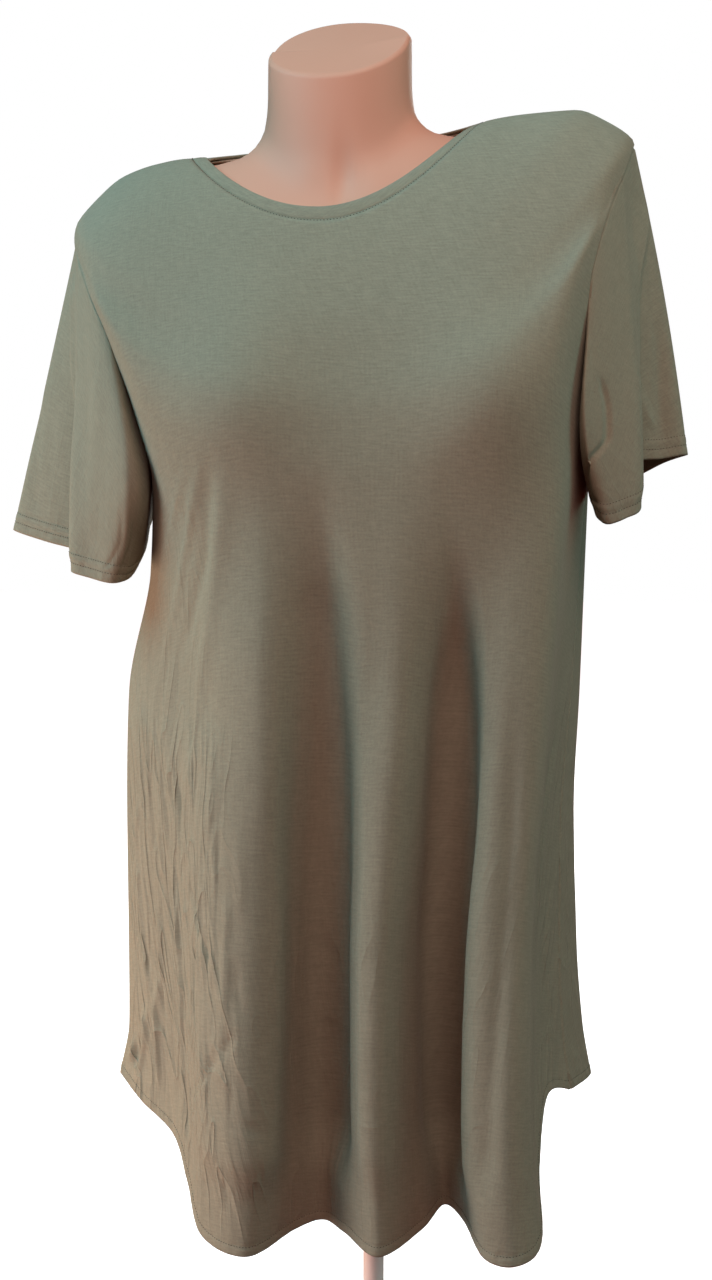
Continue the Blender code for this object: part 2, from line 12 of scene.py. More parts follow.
import bmesh
import bpy
import numpy as np
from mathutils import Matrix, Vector


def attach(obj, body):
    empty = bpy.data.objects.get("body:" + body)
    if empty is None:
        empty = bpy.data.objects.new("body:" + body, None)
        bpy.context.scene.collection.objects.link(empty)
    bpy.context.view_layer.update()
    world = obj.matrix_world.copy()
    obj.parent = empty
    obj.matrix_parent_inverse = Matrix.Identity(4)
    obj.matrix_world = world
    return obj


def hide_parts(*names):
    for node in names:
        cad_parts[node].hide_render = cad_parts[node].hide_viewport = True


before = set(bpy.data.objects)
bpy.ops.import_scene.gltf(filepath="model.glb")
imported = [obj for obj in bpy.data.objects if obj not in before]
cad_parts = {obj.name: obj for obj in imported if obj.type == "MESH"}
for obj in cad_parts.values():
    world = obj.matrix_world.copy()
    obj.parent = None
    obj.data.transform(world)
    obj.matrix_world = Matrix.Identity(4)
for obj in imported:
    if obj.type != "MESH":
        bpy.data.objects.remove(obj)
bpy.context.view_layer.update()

bl_info = {
    "name": "Jersey T-Shirt on a Dress Form",
    "version": (1, 0, 0),
    "blender": (4, 5, 0),
    "location": "View3D > Sidebar > T-Shirt",
    "description": "Models a draped jersey t-shirt, its sewing, the dress form and a soft studio",
    "category": "Add Mesh",
}

BODY = "root"
PLAIN = ("level", "across", "share", "square", "roll", "seed", "count", "strength")


def table(kind, *rows):
    """Records of a kind from rows that give lengths in millimetres, and the PLAIN numbers as they are."""
    return [
        kind(*(value if name in PLAIN else value / 1000 for name, value in zip(kind._fields, row)))
        for row in rows
    ]


def folds(*rows):
    """Folds from rows in millimetres: left, right, height and the two fades, then the path."""
    made = []
    for row in rows:
        sizes = [value / 1000 for value in row]
        made.append(Fold(tuple(zip(sizes[5::2], sizes[6::2])), *sizes[:5]))
    return made


# The cut of the shirt. A level is a line round the body: 0 is the neckline, 2 the shoulder
# tips, 6 the underarms and 11 the hem. Across runs from -1 at the left seam to 1 at the right.
WALL = 0.0014
BAND_WALL = 0.0022
BAND_LEVEL = 0.25
BAND_LIFT = 0.0003
BAND_GAP = 0.0001
SEAM_GAP = 0.0004
SHOULDER_LEVEL = 2.0
UNDERARM_LEVEL = 6.0
HEM_LEVEL = 11.0
LEVELS_PER_METRE = 24.0
LEVEL_STEP = 0.02

# The armhole: how far its back and front edges stand from the side seam, over how many levels
# and how much of the width they ease into the panel, and how far the front edge comes in
ARMHOLE_HALF_WIDTH = 0.052
ARMHOLE_FRONT_WIDTH = 0.078
ARMHOLE_REACH = 1.75
ARMHOLE_BORDER = 0.15
ARMHOLE_EASE = (1.5, 3.2)
SEAM_INWARD = 0.010

# How much flatter or squarer the front is than its sections: the middle level of the change,
# how many levels it reaches and by how much; then where across and between which levels
Change = namedtuple("Change", "level reach amount")
FLATTER_AT_ARMHOLE = Change(4.2, 1.3, 0.25)
FLATTER_AT_SEAM = Change(3.8, 1.7, 0.75)
NEAR_SEAM = (0.6, 1.0)
SQUARER_ON_THE_RIGHT = 0.45
RIGHT_PART = (0.1, 0.7)
UNDER_ARMHOLE = (4.6, 6.5)

# The back neckline's lift, its rise to the right and the levels over which it fades
BACK_NECK_LIFT = 0.0075
BACK_NECK_TILT = 0.0020
BACK_LIFT_FADE = (0.3, 1.6)

# The grids: points along the pieces, how much closer they lie at a panel's seams than at its
# middle, and the close rows over a sewn edge or seam
FRONT_COLUMNS = 400
BACK_COLUMNS = 320
PANEL_ROWS = 165
SLEEVE_COLUMNS = 300
SLEEVE_ROWS = 95
BAND_COLUMNS = 150
TAPE_COLUMNS = 121
TAPE_ROWS = 7
CLOSER_AT_SEAMS = 0.4
SEWN_EDGE = 0.018
SEWN_SEAM = 0.0072
EDGE_STEP = 0.0012

# How far the cloth's courses follow it over the shoulders, where it lies flatter
GRAIN_LEAN = 0.45

# Sewing: the width of the dent along a row of stitches and of the puckers round it, the length
# and share of each ripple in the puckers, and how near a seam or an edge the folds die away
DENT_WIDTH = 0.0013
PUCKER_WIDTH = 0.007
RIPPLES = ((0.0113, 0.5), (0.0071, 0.3), (0.0239, 0.4))
RIPPLE_DRIFT = 40.0
RIPPLE_DRIFT_LENGTH = 0.037
CALM_AT_SEAM = 0.012
CALM_AT_NECK = 0.02
CALM_AT_CUFF = (0.016, 0.002)
CUFF_CALM = 0.6

Section = namedtuple(
    "Section",
    "level left_x left_z right_x right_z side_y middle_x front_y front_z back_y back_z square roll",
)
SHIRT_SECTIONS = table(
    Section,
    (0, -126.5, 1016.5, 68, 1030, 4, -30, -75, 966.5, 62, 1030, 2, 2),
    (0.4, -143, 1016, 85, 1036.5, 3, -27, -83, 951, 70, 1015, 2, 2),
    (1, -166, 1012.5, 116, 1040, 2, -24, -94, 928, 82, 992, 2, 2),
    (1.4, -190, 1004.5, 145, 1041, 1, -20, -103, 906, 91, 972, 2.05, 2),
    (1.7, -208, 991.5, 166, 1033, 0, -16, -110, 888, 96, 952, 2.05, 2),
    (2, -228.5, 967.5, 187, 1016, 0, -12, -116, 868, 102, 930, 2.1, 2),
    (3, -212, 920, 176, 962, 0, -4, -127, 820, 110, 880, 2.2, 2),
    (4, -191, 874, 166.5, 910, 0, 0, -130, 774, 112, 826, 2.3, 1.9),
    (5, -178, 830, 163.5, 860, 0, 0, -130, 724, 110, 770, 2.35, 1.8),
    (6, -170.5, 790, 161, 818, 0, -2, -129, 680, 108, 716, 2.35, 1.7),
    (7, -176.5, 710, 156.5, 726, 0, -6, -127, 606, 107, 642, 2.3, 1.6),
    (8, -198.5, 610, 151.5, 622, 0, -12, -126, 520, 110, 556, 2.25, 1.5),
    (9, -203.5, 508, 146, 516, 0, -16, -127, 432, 117, 470, 2.2, 1.4),
    (10, -205, 404, 147.5, 410, -1, -17, -129, 336, 121, 370, 2.2, 1.3),
    (10.6, -206.5, 330, 152, 342, -2, -16, -130, 276, 124, 300, 2.2, 1.3),
    (11, -215, 285, 159, 298.5, -3, -16, -131, 236, 126, 246, 2.2, 1.3),
)

# The hem's line, from the left side seam to the right
HemPoint = namedtuple("HemPoint", "across x y z")
FRONT_HEM = table(
    HemPoint,
    (-1, -215, -3, 285), (-0.72, -187, -32, 275.5), (-0.5, -151, -64, 266.5),
    (-0.38, -130, -100, 249), (-0.28, -111, -132, 227), (-0.16, -73, -150, 225.4),
    (-0.07, -45.5, -112, 225), (-0.02, -26, -98, 226), (0.04, -6, -120, 231),
    (0.115, 22.5, -150, 234), (0.2, 50, -114, 235), (0.26, 64, -84, 237.3), (0.33, 80, -106, 239.5),
    (0.44, 97, -152, 241.2), (0.54, 120, -162, 244), (0.63, 136.5, -138, 248),
    (0.73, 134.5, -86, 274), (0.84, 140, -42, 309), (1, 159, -10, 298.5),
)
BACK_HEM = table(
    HemPoint,
    (-1, -215, -3, 285), (-0.8, -205, 44, 280), (-0.58, -164, 88, 265), (-0.4, -114, 136, 248),
    (-0.22, -70, 108, 240), (-0.04, -26, 144, 238), (0.14, 15, 114, 242), (0.32, 56, 146, 244),
    (0.5, 96, 106, 256), (0.68, 142, 106, 270), (0.86, 176, 46, 288), (1, 159, -10, 298.5),
)

# How much of the hem's own line each level takes on
Growth = namedtuple("Growth", "level share")
HEM_GROWTH = table(
    Growth,
    (0, 0), (3.6, 0), (5, 0.06), (6, 0.15), (7, 0.32), (8, 0.5), (9, 0.68), (10, 0.85), (11, 1),
)

# Mounds of the bust, and of the collarbones with the hollow between them
Mound = namedtuple("Mound", "x z width height out")
COLLARBONES = table(
    Mound,
    (-17, 986, 7, 26, -2.6), (-42, 990, 15, 12, 1.6), (6, 986, 11, 18, 1.8),
)
BUST = table(
    Mound,
    (-80, 838, 46, 60, 16), (94, 842, 46, 60, 16),
)

# The sleeves' hems, from the outermost point forwards, round the inner side and back
Cuff = namedtuple("Cuff", "share x y z")
LEFT_CUFF = table(
    Cuff,
    (0, -292.5, 4, 737), (0.02, -261, -12, 729), (0.04, -225, -24, 721.5), (0.055, -218, -42, 715),
    (0.075, -218.5, -66, 710.5), (0.13, -202, -74, 706.5), (0.23, -186, -78, 703.5),
    (0.3, -179, -68, 704), (0.35, -178, -48, 707), (0.44, -180, -18, 717), (0.54, -186, 14, 724),
    (0.68, -198, 46, 727), (0.83, -229, 58, 730), (0.94, -270, 36, 735),
)
RIGHT_CUFF = table(
    Cuff,
    (0, 232.5, 4, 796.5), (0.02, 213, -6, 793.5), (0.04, 194, -16, 791), (0.055, 192, -34, 776),
    (0.075, 193.5, -60, 759), (0.13, 184, -70, 753), (0.23, 172, -74, 749), (0.3, 165, -64, 753),
    (0.35, 163.5, -46, 758), (0.44, 162, -18, 764), (0.54, 163, 14, 768), (0.68, 172, 44, 772),
    (0.83, 191, 54, 775), (0.94, 218, 34, 790),
)

# How the inner half of a sleeve fills out beside the body: where round the sleeve, how far it
# spreads to each side of that, how far forwards and inwards, and how far the top bows out
Fill = namedtuple("Fill", "share before after forwards inwards bow")
LEFT_FILL = Fill(0.43, 0.16, 0.045, 0.044, 0.017, 0.000)
RIGHT_FILL = Fill(0.39, 0.12, 0.05, 0.034, 0.008, 0.003)
FILL_ROUNDNESS = 0.8

# The form: how far it lies under the cloth, its own sections where the cloth hangs clear of
# it, the levels between which it leaves the cloth, and its neck from the slanting cut down
FORM_UNDER_NECKLINE = 0.0064
FORM_UNDER_CLOTH = 0.0029
FORM_SIDE_FLAT = 0.003
FORM_LEAVES_CLOTH = (2.0, 3.4)
FORM_SECTIONS = table(
    Section,
    (2, -225, 965, 181, 1010, 0, -12, -114, 868, 100, 930, 2.1, 2),
    (3, -203, 916, 167, 957, 0, -4, -121, 820, 106, 880, 2.1, 2),
    (4, -176, 866, 154, 902, 0, 0, -112, 774, 104, 826, 2.1, 2),
    (5, -156, 820, 142, 850, 0, 0, -96, 732, 94, 770, 2.1, 2),
    (6, -142, 774, 130, 798, 0, -2, -84, 694, 84, 716, 2.1, 2),
    (7, -134, 700, 120, 714, 0, -6, -80, 640, 74, 658, 2.1, 2),
    (8, -148, 610, 122, 616, 0, -12, -80, 574, 78, 586, 2.1, 2),
    (9, -166, 520, 130, 522, 0, -16, -80, 500, 90, 506, 2.1, 2),
    (10, -172, 430, 132, 430, 0, -17, -78, 424, 96, 426, 2.1, 2),
    (10.7, -168, 376, 128, 376, 0, -16, -74, 376, 92, 376, 2.1, 2),
    (11, -162, 370, 122, 370, 0, -16, -68, 370, 86, 370, 2.1, 2),
)
NECK_SECTIONS = table(
    Section,
    (-6, -76.5, 1089.2, 23.3, 1096.7, 0, -26.5, -50.2, 1060, 47.7, 1122.5, 2, 1),
    (-5, -78.8, 1086, 25.6, 1093.5, 0, -26.5, -52.5, 1056.5, 50, 1119, 2, 1),
    (-4, -79.5, 1056, 26, 1064, 0, -26.5, -52.5, 1027, 50, 1082, 2, 1.1),
    (-3, -82, 1036, 28, 1046, 0, -26.5, -53, 1004, 49, 1056, 2, 1.3),
    (-2, -90, 1021.5, 34.5, 1035, 0, -26.5, -55.5, 988, 50, 1040, 2, 1.6),
    (-1, -103, 1013.5, 46, 1027.5, 0, -27.5, -62, 974, 53, 1031, 2, 1.9),
)
FORM_BOTTOM_Z = 0.370
FORM_LEVELS = (
    0.0, 0.26, 0.6, 1.0, 1.4, 1.7, 2.0, 2.4, 2.8, 3.3, 3.8, 4.4, 5.0, 6.0, 7.2, 8.6, 10.0, 10.7, 11.0,
)
FORM_COLUMNS = {-1: 90, 1: 70}
FORM_ROWS = 130
RIM_ROWS = 7
CAP_SIZES = (0.35, 0.7, 0.9, 0.985)
FLOOR_SIZES = (0.985, 0.7, 0.35)
COLLARBONES_BEFORE = -0.02

# The neckband's fold in section: the level, and the distance from the cloth's outer face
BAND_PROFILE = (
    (0.250, -0.0001), (0.246, 0.0000), (0.200, 0.0002), (0.120, 0.0004), (0.040, 0.0003),
    (0.012, 0.0000), (0.000, -0.0006), (0.000, -0.0012), (0.012, -0.0017), (0.040, -0.0019),
    (0.120, -0.0019), (0.200, -0.0019), (0.246, -0.0019), (0.250, -0.0015),
)

# The tape inside the back of the neck, and the hanger loop on it
TAPE_LEVELS = (0.05, 0.20)
TAPE_GAP = 0.0007
TAPE_WALL = 0.0010
LOOP_TURN = 2.6
LOOP_TURN_STEP = 0.01
LOOP_LEVEL = 0.12
LOOP_HALF_LENGTH = 0.008
LOOP_RISE = 0.010
LOOP_STRAP_SHARE = 0.35
LOOP_WALL = 0.0010
LOOP_COLUMNS = 33
LOOP_ROWS = 5

# The stand
SOCKET_RADIUS = 0.018
SOCKET_HEIGHT = 0.034
SOCKET_BORE_DEPTH = 0.028
POLE_CLEARANCE = 0.0003
FLANGE_RADIUS = 0.045
FLANGE_THICKNESS = 0.005
ROUND_SIDES = 96
RIM_SIZE = 0.0012
POLE_RIM_SIZE = 0.0008
SHARP_ANGLE = 35.0

# Folds. A path runs from the top down through (out, z): out is the way along the cloth from
# the middle of its panel, to the viewer's right where it is above 0. A fold rises by height,
# or sinks where that is below 0, falls away over left and right, and fades at its ends.
Fold = namedtuple("Fold", "path left right height fade_top fade_bottom")
FRONT_FOLDS = folds(
    # Valleys and crests that fall from the bust to the hem's lobes
    (60, 16, 7.5, 160, 40, -96, 800, -101, 600, -98, 487, -126, 262),
    (28, 13, -13.5, 120, 50, -52, 800, -52, 700, -46, 490, -50, 262),
    (8, 20, 4, 100, 40, -34, 660, -26, 620, -12, 490, -6, 270),
    (34, 13, -15, 140, 50, 30, 760, 50, 640, 74, 490, 100, 262),
    (8, 24, 4, 100, 40, 56, 740, 72, 660, 100, 487, 130, 262),
    (10, 10, -4.5, 140, 50, 98, 660, 116, 560, 130, 487, 156, 270),
    # Soft folds that fan out from the left bust towards the side
    (4, 5, 1.4, 50, 60, -148, 800, -168, 778, -201, 747, -237, 708, -264, 647, -279, 600),
    (5, 6, 1.7, 50, 80, -138, 800, -150, 776, -198, 703, -232, 638, -245, 579),
    (10, 12, 3, 60, 80, -122, 800, -134, 739, -150, 670, -163, 630, -157, 560),
    (8, 8, -2.2, 40, 40, -130, 800, -145, 738, -178, 683, -203, 640),
    (6, 6, 1.2, 50, 50, -205, 690, -214, 640, -222, 560, -222, 520),
    # Sharp wrinkles over the left hip
    (2.4, 3, 1.4, 30, 30, -250, 590, -262, 520, -264, 485),
    (3, 3, 1.9, 40, 40, -280, 540, -297, 464, -301, 390, -292, 358, -304, 285),
    (2.2, 2.6, -1.4, 12, 12, -207, 572, -200, 530),
    (2.4, 3.6, 3.2, 50, 20, -222, 510, -227, 462, -228, 410, -240, 353, -245, 304, -230, 266),
    (2.2, 3, -2.2, 10, 14, -184, 486, -160, 453, -146, 432),
    (2.2, 3, -2.1, 10, 14, -163, 450, -184, 430, -186, 405, -184, 380),
    (4, 3, 1.8, 30, 30, -125, 500, -131, 438, -138, 390),
    (3, 3, 1.9, 30, 20, -262, 460, -274, 397, -290, 366, -294, 336, -299, 290),
    (2.6, 3, 1.6, 12, 12, -333, 420, -310, 404, -302, 380),
    (4, 4, 3.8, 12, 6, -306, 356, -340, 316, -352, 298),
    (3.6, 3.6, -3.5, 14, 6, -318, 348, -337, 318, -340, 296),
    (3, 3.4, 2.9, 12, 6, -311, 345, -324, 315, -330, 296),
    (2.6, 2, -2.2, 10, 10, -146, 374, -165, 350, -200, 328, -236, 312),
    (5, 5, 1.8, 30, 30, -157, 420, -166, 370, -172, 325),
    (2, 2.6, 1.3, 12, 12, -146, 452, -141, 424, -137, 402),
    (2.4, 2.4, -1.9, 8, 8, -127, 396, -138, 380, -148, 368),
    (2.4, 2.4, -1.6, 8, 8, -133, 331, -125, 316),
    # Soft folds on the right side panel
    (5, 5, 1.2, 30, 30, 302, 470, 308, 430, 314, 396),
    (9, 7, 1.8, 60, 50, 256, 600, 268, 500, 272, 420),
)
BACK_FOLDS = folds(
    # Folds that fall from the shoulder blades to the hem
    (14, 24, 5, 160, 40, -110, 840, -118, 640, -120, 440, -126, 270),
    (18, 14, -6, 140, 40, -76, 760, -78, 600, -76, 420, -74, 260),
    (16, 18, 4, 160, 40, -30, 800, -32, 640, -26, 440, -22, 260),
    (14, 18, -5.5, 120, 40, 18, 700, 20, 560, 22, 420, 24, 260),
    (20, 14, 5, 160, 40, 70, 820, 74, 640, 76, 440, 78, 262),
    (16, 14, -4.5, 120, 40, 118, 680, 128, 540, 130, 400, 132, 290),
    # Drag lines from the armholes towards the middle
    (6, 8, 1.6, 20, 30, -196, 846, -160, 800, -120, 772),
    (8, 6, 1.6, 20, 30, 196, 872, 156, 826, 112, 796),
    (6, 7, 1.5, 30, 60, -186, 790, -206, 720, -224, 640),
    (7, 6, 1.5, 30, 60, 176, 770, 196, 690, 206, 600),
    # Wrinkles over the hips
    (3, 4, 1.3, 40, 40, -210, 560, -220, 470, -214, 380),
    (4, 3, 1.1, 40, 40, -180, 500, -190, 420, -184, 340),
    (3, 3, -1.2, 14, 14, -236, 440, -216, 400, -204, 376),
    (4, 3, 1.2, 40, 40, 190, 520, 204, 430, 204, 360),
    (3, 3, -1, 14, 14, 166, 430, 150, 396, 146, 372),
)

# Folds of the sleeves: out is the way round from the outermost line, forwards
LEFT_SLEEVE_FOLDS = folds(
    # The edge of the front lobe, which stands proud of the outer part
    (4, 20, 3.6, 30, 4, 22, 940, 30, 911, 43, 853, 91, 777, 106, 726, 110, 700),
    (2.2, 3, -0.8, 20, 4, 158, 762, 160, 735, 156, 722, 150, 712),
    (2.2, 3, -0.8, 20, 4, 172, 756, 170, 734, 166, 719, 164, 706),
    (6, 6, -1.2, 30, 20, 2, 850, 12, 790, 24, 745),
    (10, 10, 1.4, 50, 30, 112, 880, 119, 800, 132, 725),
    # The hidden side
    (10, 8, 3, 40, 10, -40, 900, -60, 820, -80, 745),
    (8, 8, -2.2, 30, 20, -110, 860, -118, 790, -120, 735),
    (4, 4, 1.4, 20, 10, -150, 820, -150, 770, -146, 735),
)
RIGHT_SLEEVE_FOLDS = folds(
    (4, 20, 3.6, 60, 2, 0, 985, 4, 974, 32, 921, 44, 878, 71, 831, 92, 768, 94, 750),
    # The wavy crease beside the body
    (3, 4.6, -2.4, 14, 10, 124, 852, 117, 829, 120, 809, 138, 792, 146, 776, 134, 760),
    (6, 7, -1.4, 30, 20, 10, 900, 20, 840, 24, 800),
    (4, 5, 1.2, 15, 12, 40, 850, 26, 812),
    # The hidden side
    (10, 9, 3, 40, 10, -40, 930, -60, 850, -76, 790),
    (7, 7, -2.2, 30, 20, -110, 880, -116, 820, -116, 775),
)

# Patches of fine wrinkles: how many, where on the cloth, how long, how wide and how high
Patch = namedtuple("Patch", "seed count out_low out_high z_low z_high short long width height")
FRONT_PATCHES = table(
    Patch,
    (3, 110, -345, -120, 300, 640, 25, 110, 2.1, 0.75),
    (5, 26, 60, 170, 260, 640, 30, 110, 2.4, 0.22), (7, 14, 210, 340, 330, 700, 30, 90, 3.4, 0.5),
    (11, 16, -110, 60, 300, 700, 30, 90, 2.6, 0.18),
)
BACK_PATCHES = table(
    Patch,
    (13, 40, -300, -120, 300, 640, 30, 110, 2.6, 0.5),
    (17, 36, 120, 290, 310, 640, 30, 110, 2.6, 0.5),
)

# Zones where the cloth is crumpled all over, for the finest wrinkles
Zone = namedtuple("Zone", "out_low out_high z_low z_high border strength")
FRONT_ZONES = table(
    Zone,
    (-420, -130, 250, 600, 30, 1), (-420, -150, 560, 760, 40, 0.35), (60, 140, 220, 520, 40, 0.35),
    (-110, 20, 220, 480, 40, 0.3), (190, 400, 280, 620, 40, 0.55),
)
BACK_ZONES = table(
    Zone,
    (-420, -120, 250, 600, 40, 0.5), (120, 420, 250, 600, 40, 0.5), (-120, 120, 220, 480, 40, 0.3),
)
SLEEVE_ZONES = table(Zone, (-500, 500, 600, 900, 40, 0.1))

# Blender's band texture has one band in this length at scale 1
BAND_SPAN = 0.314

# The studio: each light's direction from the lit point (degrees, 0 is the front), its
# distance, size and colour; the light all round; the floor; and how the camera sees the shirt
Lamp = namedtuple("Lamp", "name azimuth height distance size colour")
LAMPS = (
    Lamp("window", -60.0, 45.0, 2.0, 1.2, (0.24, 0.84, 1.0)),
    Lamp("room", -100.0, -20.0, 1.0, 0.5, (1.0, 0.58, 0.20)),
    Lamp("low", -70.0, -25.0, 1.0, 0.5, (1.0, 0.64, 0.56)),
    Lamp("front", 15.0, 45.0, 2.0, 1.2, (1.0, 0.68, 0.60)),
    Lamp("right", 75.0, 35.0, 2.0, 1.2, (0.22, 0.98, 1.0)),
    Lamp("side", 85.0, 5.0, 2.0, 1.2, (0.50, 1.0, 0.92)),
    Lamp("back", 178.0, 16.0, 2.4, 1.4, (1.0, 0.97, 0.92)),
)
LIT_POINT = Vector((-0.02, 0.0, 0.65))
AMBIENT_COLOUR = (1.0, 0.12, 0.08, 1.0)
WHITE = (1.0, 1.0, 1.0, 1.0)
FLOOR_COLOUR = (0.85, 0.85, 0.85, 1.0)
FLOOR_SIZE = 12.0
FLOOR_Z = -0.001
CAMERA_PLACE = (0.1247, -0.9923, 0.80)
CAMERA_PITCH = 8.32
CAMERA_AZIMUTH = 8.0
CAMERA_LENS = 36.5625

# The outer faces of the panels and sleeves, kept for their rows of stitches
SURFACES = {}


def bell(offset, width):
    """1 where the offset is 0, falling away smoothly over a width to each side."""
    return np.exp(-((offset / width) ** 2))


def soft_step(low, high, at):
    """0 below low, 1 above high and a smooth rise between them."""
    t = np.clip((at - low) / (high - low), 0.0, 1.0)
    return t * t * (3 - 2 * t)


def between(low, high, border, at):
    """1 between low and high and 0 outside them, with soft borders."""
    return soft_step(low - border, low + border, at) * (1 - soft_step(high - border, high + border, at))


def through(keys, values, at):
    """A smooth curve through values at rising keys, with no overshoot, read at many places."""
    keys = np.asarray(keys, float)
    values = np.asarray(values, float)
    wide = (-1,) + (1,) * (values.ndim - 1)
    spans = np.diff(keys)
    rises = np.diff(values, axis=0) / spans.reshape(wide)
    slopes = np.empty_like(values)
    slopes[0], slopes[-1] = rises[0], rises[-1]
    low, high = rises[:-1], rises[1:]
    sums = np.where(low * high > 0, low + high, 1.0)
    slopes[1:-1] = np.where(low * high > 0, 2.0 * low * high / sums, 0.0)
    at = np.clip(np.asarray(at, float), keys[0], keys[-1])
    before = np.clip(np.searchsorted(keys, at) - 1, 0, len(spans) - 1)
    shape = at.shape + (1,) * (values.ndim - 1)
    span = spans[before].reshape(shape)
    t = (at - keys[before]).reshape(shape) / span
    start = (2 * t**3 - 3 * t**2 + 1) * values[before] + (t**3 - 2 * t**2 + t) * span * slopes[before]
    end = (3 * t**2 - 2 * t**3) * values[before + 1] + (t**3 - t**2) * span * slopes[before + 1]
    return start + end


def column(table, key, name, at):
    """One named column of a table, read between its rows."""
    return through([getattr(row, key) for row in table], [getattr(row, name) for row in table], at)


def along_points(table, turns, closed=False):
    """Rows between the rows of a table of points, on a smooth line through them all."""
    rows = np.array(table, float)
    last = len(rows) if closed else len(rows) - 1
    turns = np.asarray(turns, float)
    before = np.minimum(turns.astype(int), last - 1)
    t = (turns - before)[..., None]

    def row(i):
        """The table's rows at some places, round again or held at its ends."""
        return rows[i % len(rows)] if closed else rows[np.clip(i, 0, last)]

    p, q, r, s = row(before - 1), row(before), row(before + 1), row(before + 2)
    return 0.5 * (
        2 * q + (r - p) * t + (2 * p - 5 * q + 4 * r - s) * t**2 + (3 * q - p - 3 * r + s) * t**3
    )


def armhole_gap(levels, across=1.0, half=1):
    """How far the armhole's edges stand from the side seam's plane, eased away from the edge itself."""
    share = np.clip((levels - SHOULDER_LEVEL) / (UNDERARM_LEVEL - SHOULDER_LEVEL), 0.0, 1.0)
    at_edge = np.sin(np.pi * share).clip(0.0) ** 0.75
    eased = bell(levels - (SHOULDER_LEVEL + UNDERARM_LEVEL) / 2, ARMHOLE_REACH)
    if half < 0:
        eased = eased * soft_step(*ARMHOLE_EASE, levels)
    width = ARMHOLE_HALF_WIDTH if half > 0 else ARMHOLE_FRONT_WIDTH
    return width * (eased + (at_edge - eased) * bell(1.0 - np.abs(across), ARMHOLE_BORDER))


def squareness(square, levels, across):
    """How square the front is, flatter at the armhole and squarer low on the right."""
    change = FLATTER_AT_ARMHOLE
    square = square - change.amount * bell(levels - change.level, change.reach)
    change = FLATTER_AT_SEAM
    at_seam = soft_step(*NEAR_SEAM, np.abs(across)) * bell(levels - change.level, change.reach)
    square = square - change.amount * at_seam
    return square + SQUARER_ON_THE_RIGHT * soft_step(*RIGHT_PART, across) * soft_step(*UNDER_ARMHOLE, levels)


def half_points(table, levels, half, across, gap=0.0):
    """Points of the front (-1) or back (+1) half of the sections at some levels."""
    now = Section(levels, *(column(table, "level", name, levels) for name in Section._fields[1:]))
    angle = np.minimum(1.0, np.abs(across)) * np.pi / 2
    power = 2.0 / (squareness(now.square, levels, across) if half < 0 else now.square)
    side = np.sin(angle) ** power
    face = np.cos(angle).clip(0.0) ** power
    edge_x = np.where(across < 0, now.left_x, now.right_x)
    edge_z = np.where(across < 0, now.left_z, now.right_z)
    edge_y = now.side_y + half * gap
    if half < 0:
        edge_x = edge_x - np.sign(edge_x) * SEAM_INWARD * gap / ARMHOLE_FRONT_WIDTH
    middle_y = now.front_y if half < 0 else now.back_y
    middle_z = now.front_z if half < 0 else now.back_z
    x = now.middle_x + (edge_x - now.middle_x) * side
    y = edge_y + (middle_y - edge_y) * face
    z = edge_z + (middle_z - edge_z) * np.cos(angle).clip(0.0) ** now.roll
    return np.stack(np.broadcast_arrays(x, y, z), axis=-1)


def with_mounds(points, half, mounds):
    """The same points, pushed forwards by some mounds where they are on the front."""
    if half > 0:
        return points
    points = points.copy()
    x, z = points[..., 0].copy(), points[..., 2].copy()
    for mound in mounds:
        from_peak = ((x - mound.x) / mound.width) ** 2 + ((z - mound.z) / mound.height) ** 2
        points[..., 1] -= mound.out * np.exp(-from_peak)
    return points


def hem_table(half):
    """The hem's points on one half."""
    return FRONT_HEM if half < 0 else BACK_HEM


def shirt_points(half, turns, levels, lifted=True):
    """Points of the shirt's outer face; turns run along the half's hem table, row by row."""
    turns, levels = np.broadcast_arrays(np.asarray(turns, float), np.asarray(levels, float))
    hem = along_points(hem_table(half), turns)
    across = hem[..., 0]
    gap = armhole_gap(levels, across, half)
    plain = with_mounds(half_points(SHIRT_SECTIONS, levels, half, across, gap), half, BUST)
    lowest = half_points(SHIRT_SECTIONS, np.full(levels.shape, HEM_LEVEL), half, across)
    share = column(HEM_GROWTH, "level", "share", levels)[..., None]
    points = plain + (hem[..., 1:] - lowest) * share
    if lifted and half > 0:
        lift = BACK_NECK_LIFT + BACK_NECK_TILT * across
        points[..., 2] += lift * (1 - across**6).clip(0.0) * (1 - soft_step(*BACK_LIFT_FADE, levels))
    return points


def hem_turns(half, count):
    """Places along a half's hem table for its columns, in the order that faces the cloth out."""
    even = np.linspace(0.0, 1.0, count + 1)
    closer = CLOSER_AT_SEAMS * np.sin(2 * np.pi * even) / (2 * np.pi)
    places = (len(hem_table(half)) - 1.0) * (even - closer)
    return places if half < 0 else places[::-1]


def spaced(length, count, seam=0.0):
    """Distances along a length: count even steps between closer ones over its seam and its sewn edge."""
    first = np.arange(0.0, seam - 1e-9, EDGE_STEP)
    edge = np.arange(SEWN_EDGE, -1e-9, -EDGE_STEP)
    return np.concatenate([first, np.linspace(seam, length - SEWN_EDGE, count + 1)[:-1], length - edge])


def even_levels(half, first, count):
    """Levels from first to the hem whose rows lie equally far apart down the middle."""
    fine = np.linspace(first, HEM_LEVEL, 400)
    middle = shirt_points(half, (len(hem_table(half)) - 1) / 2, fine)
    run = np.concatenate([[0.0], np.cumsum(np.linalg.norm(np.diff(middle, axis=0), axis=1))])
    return np.interp(spaced(run[-1], count), run, fine)


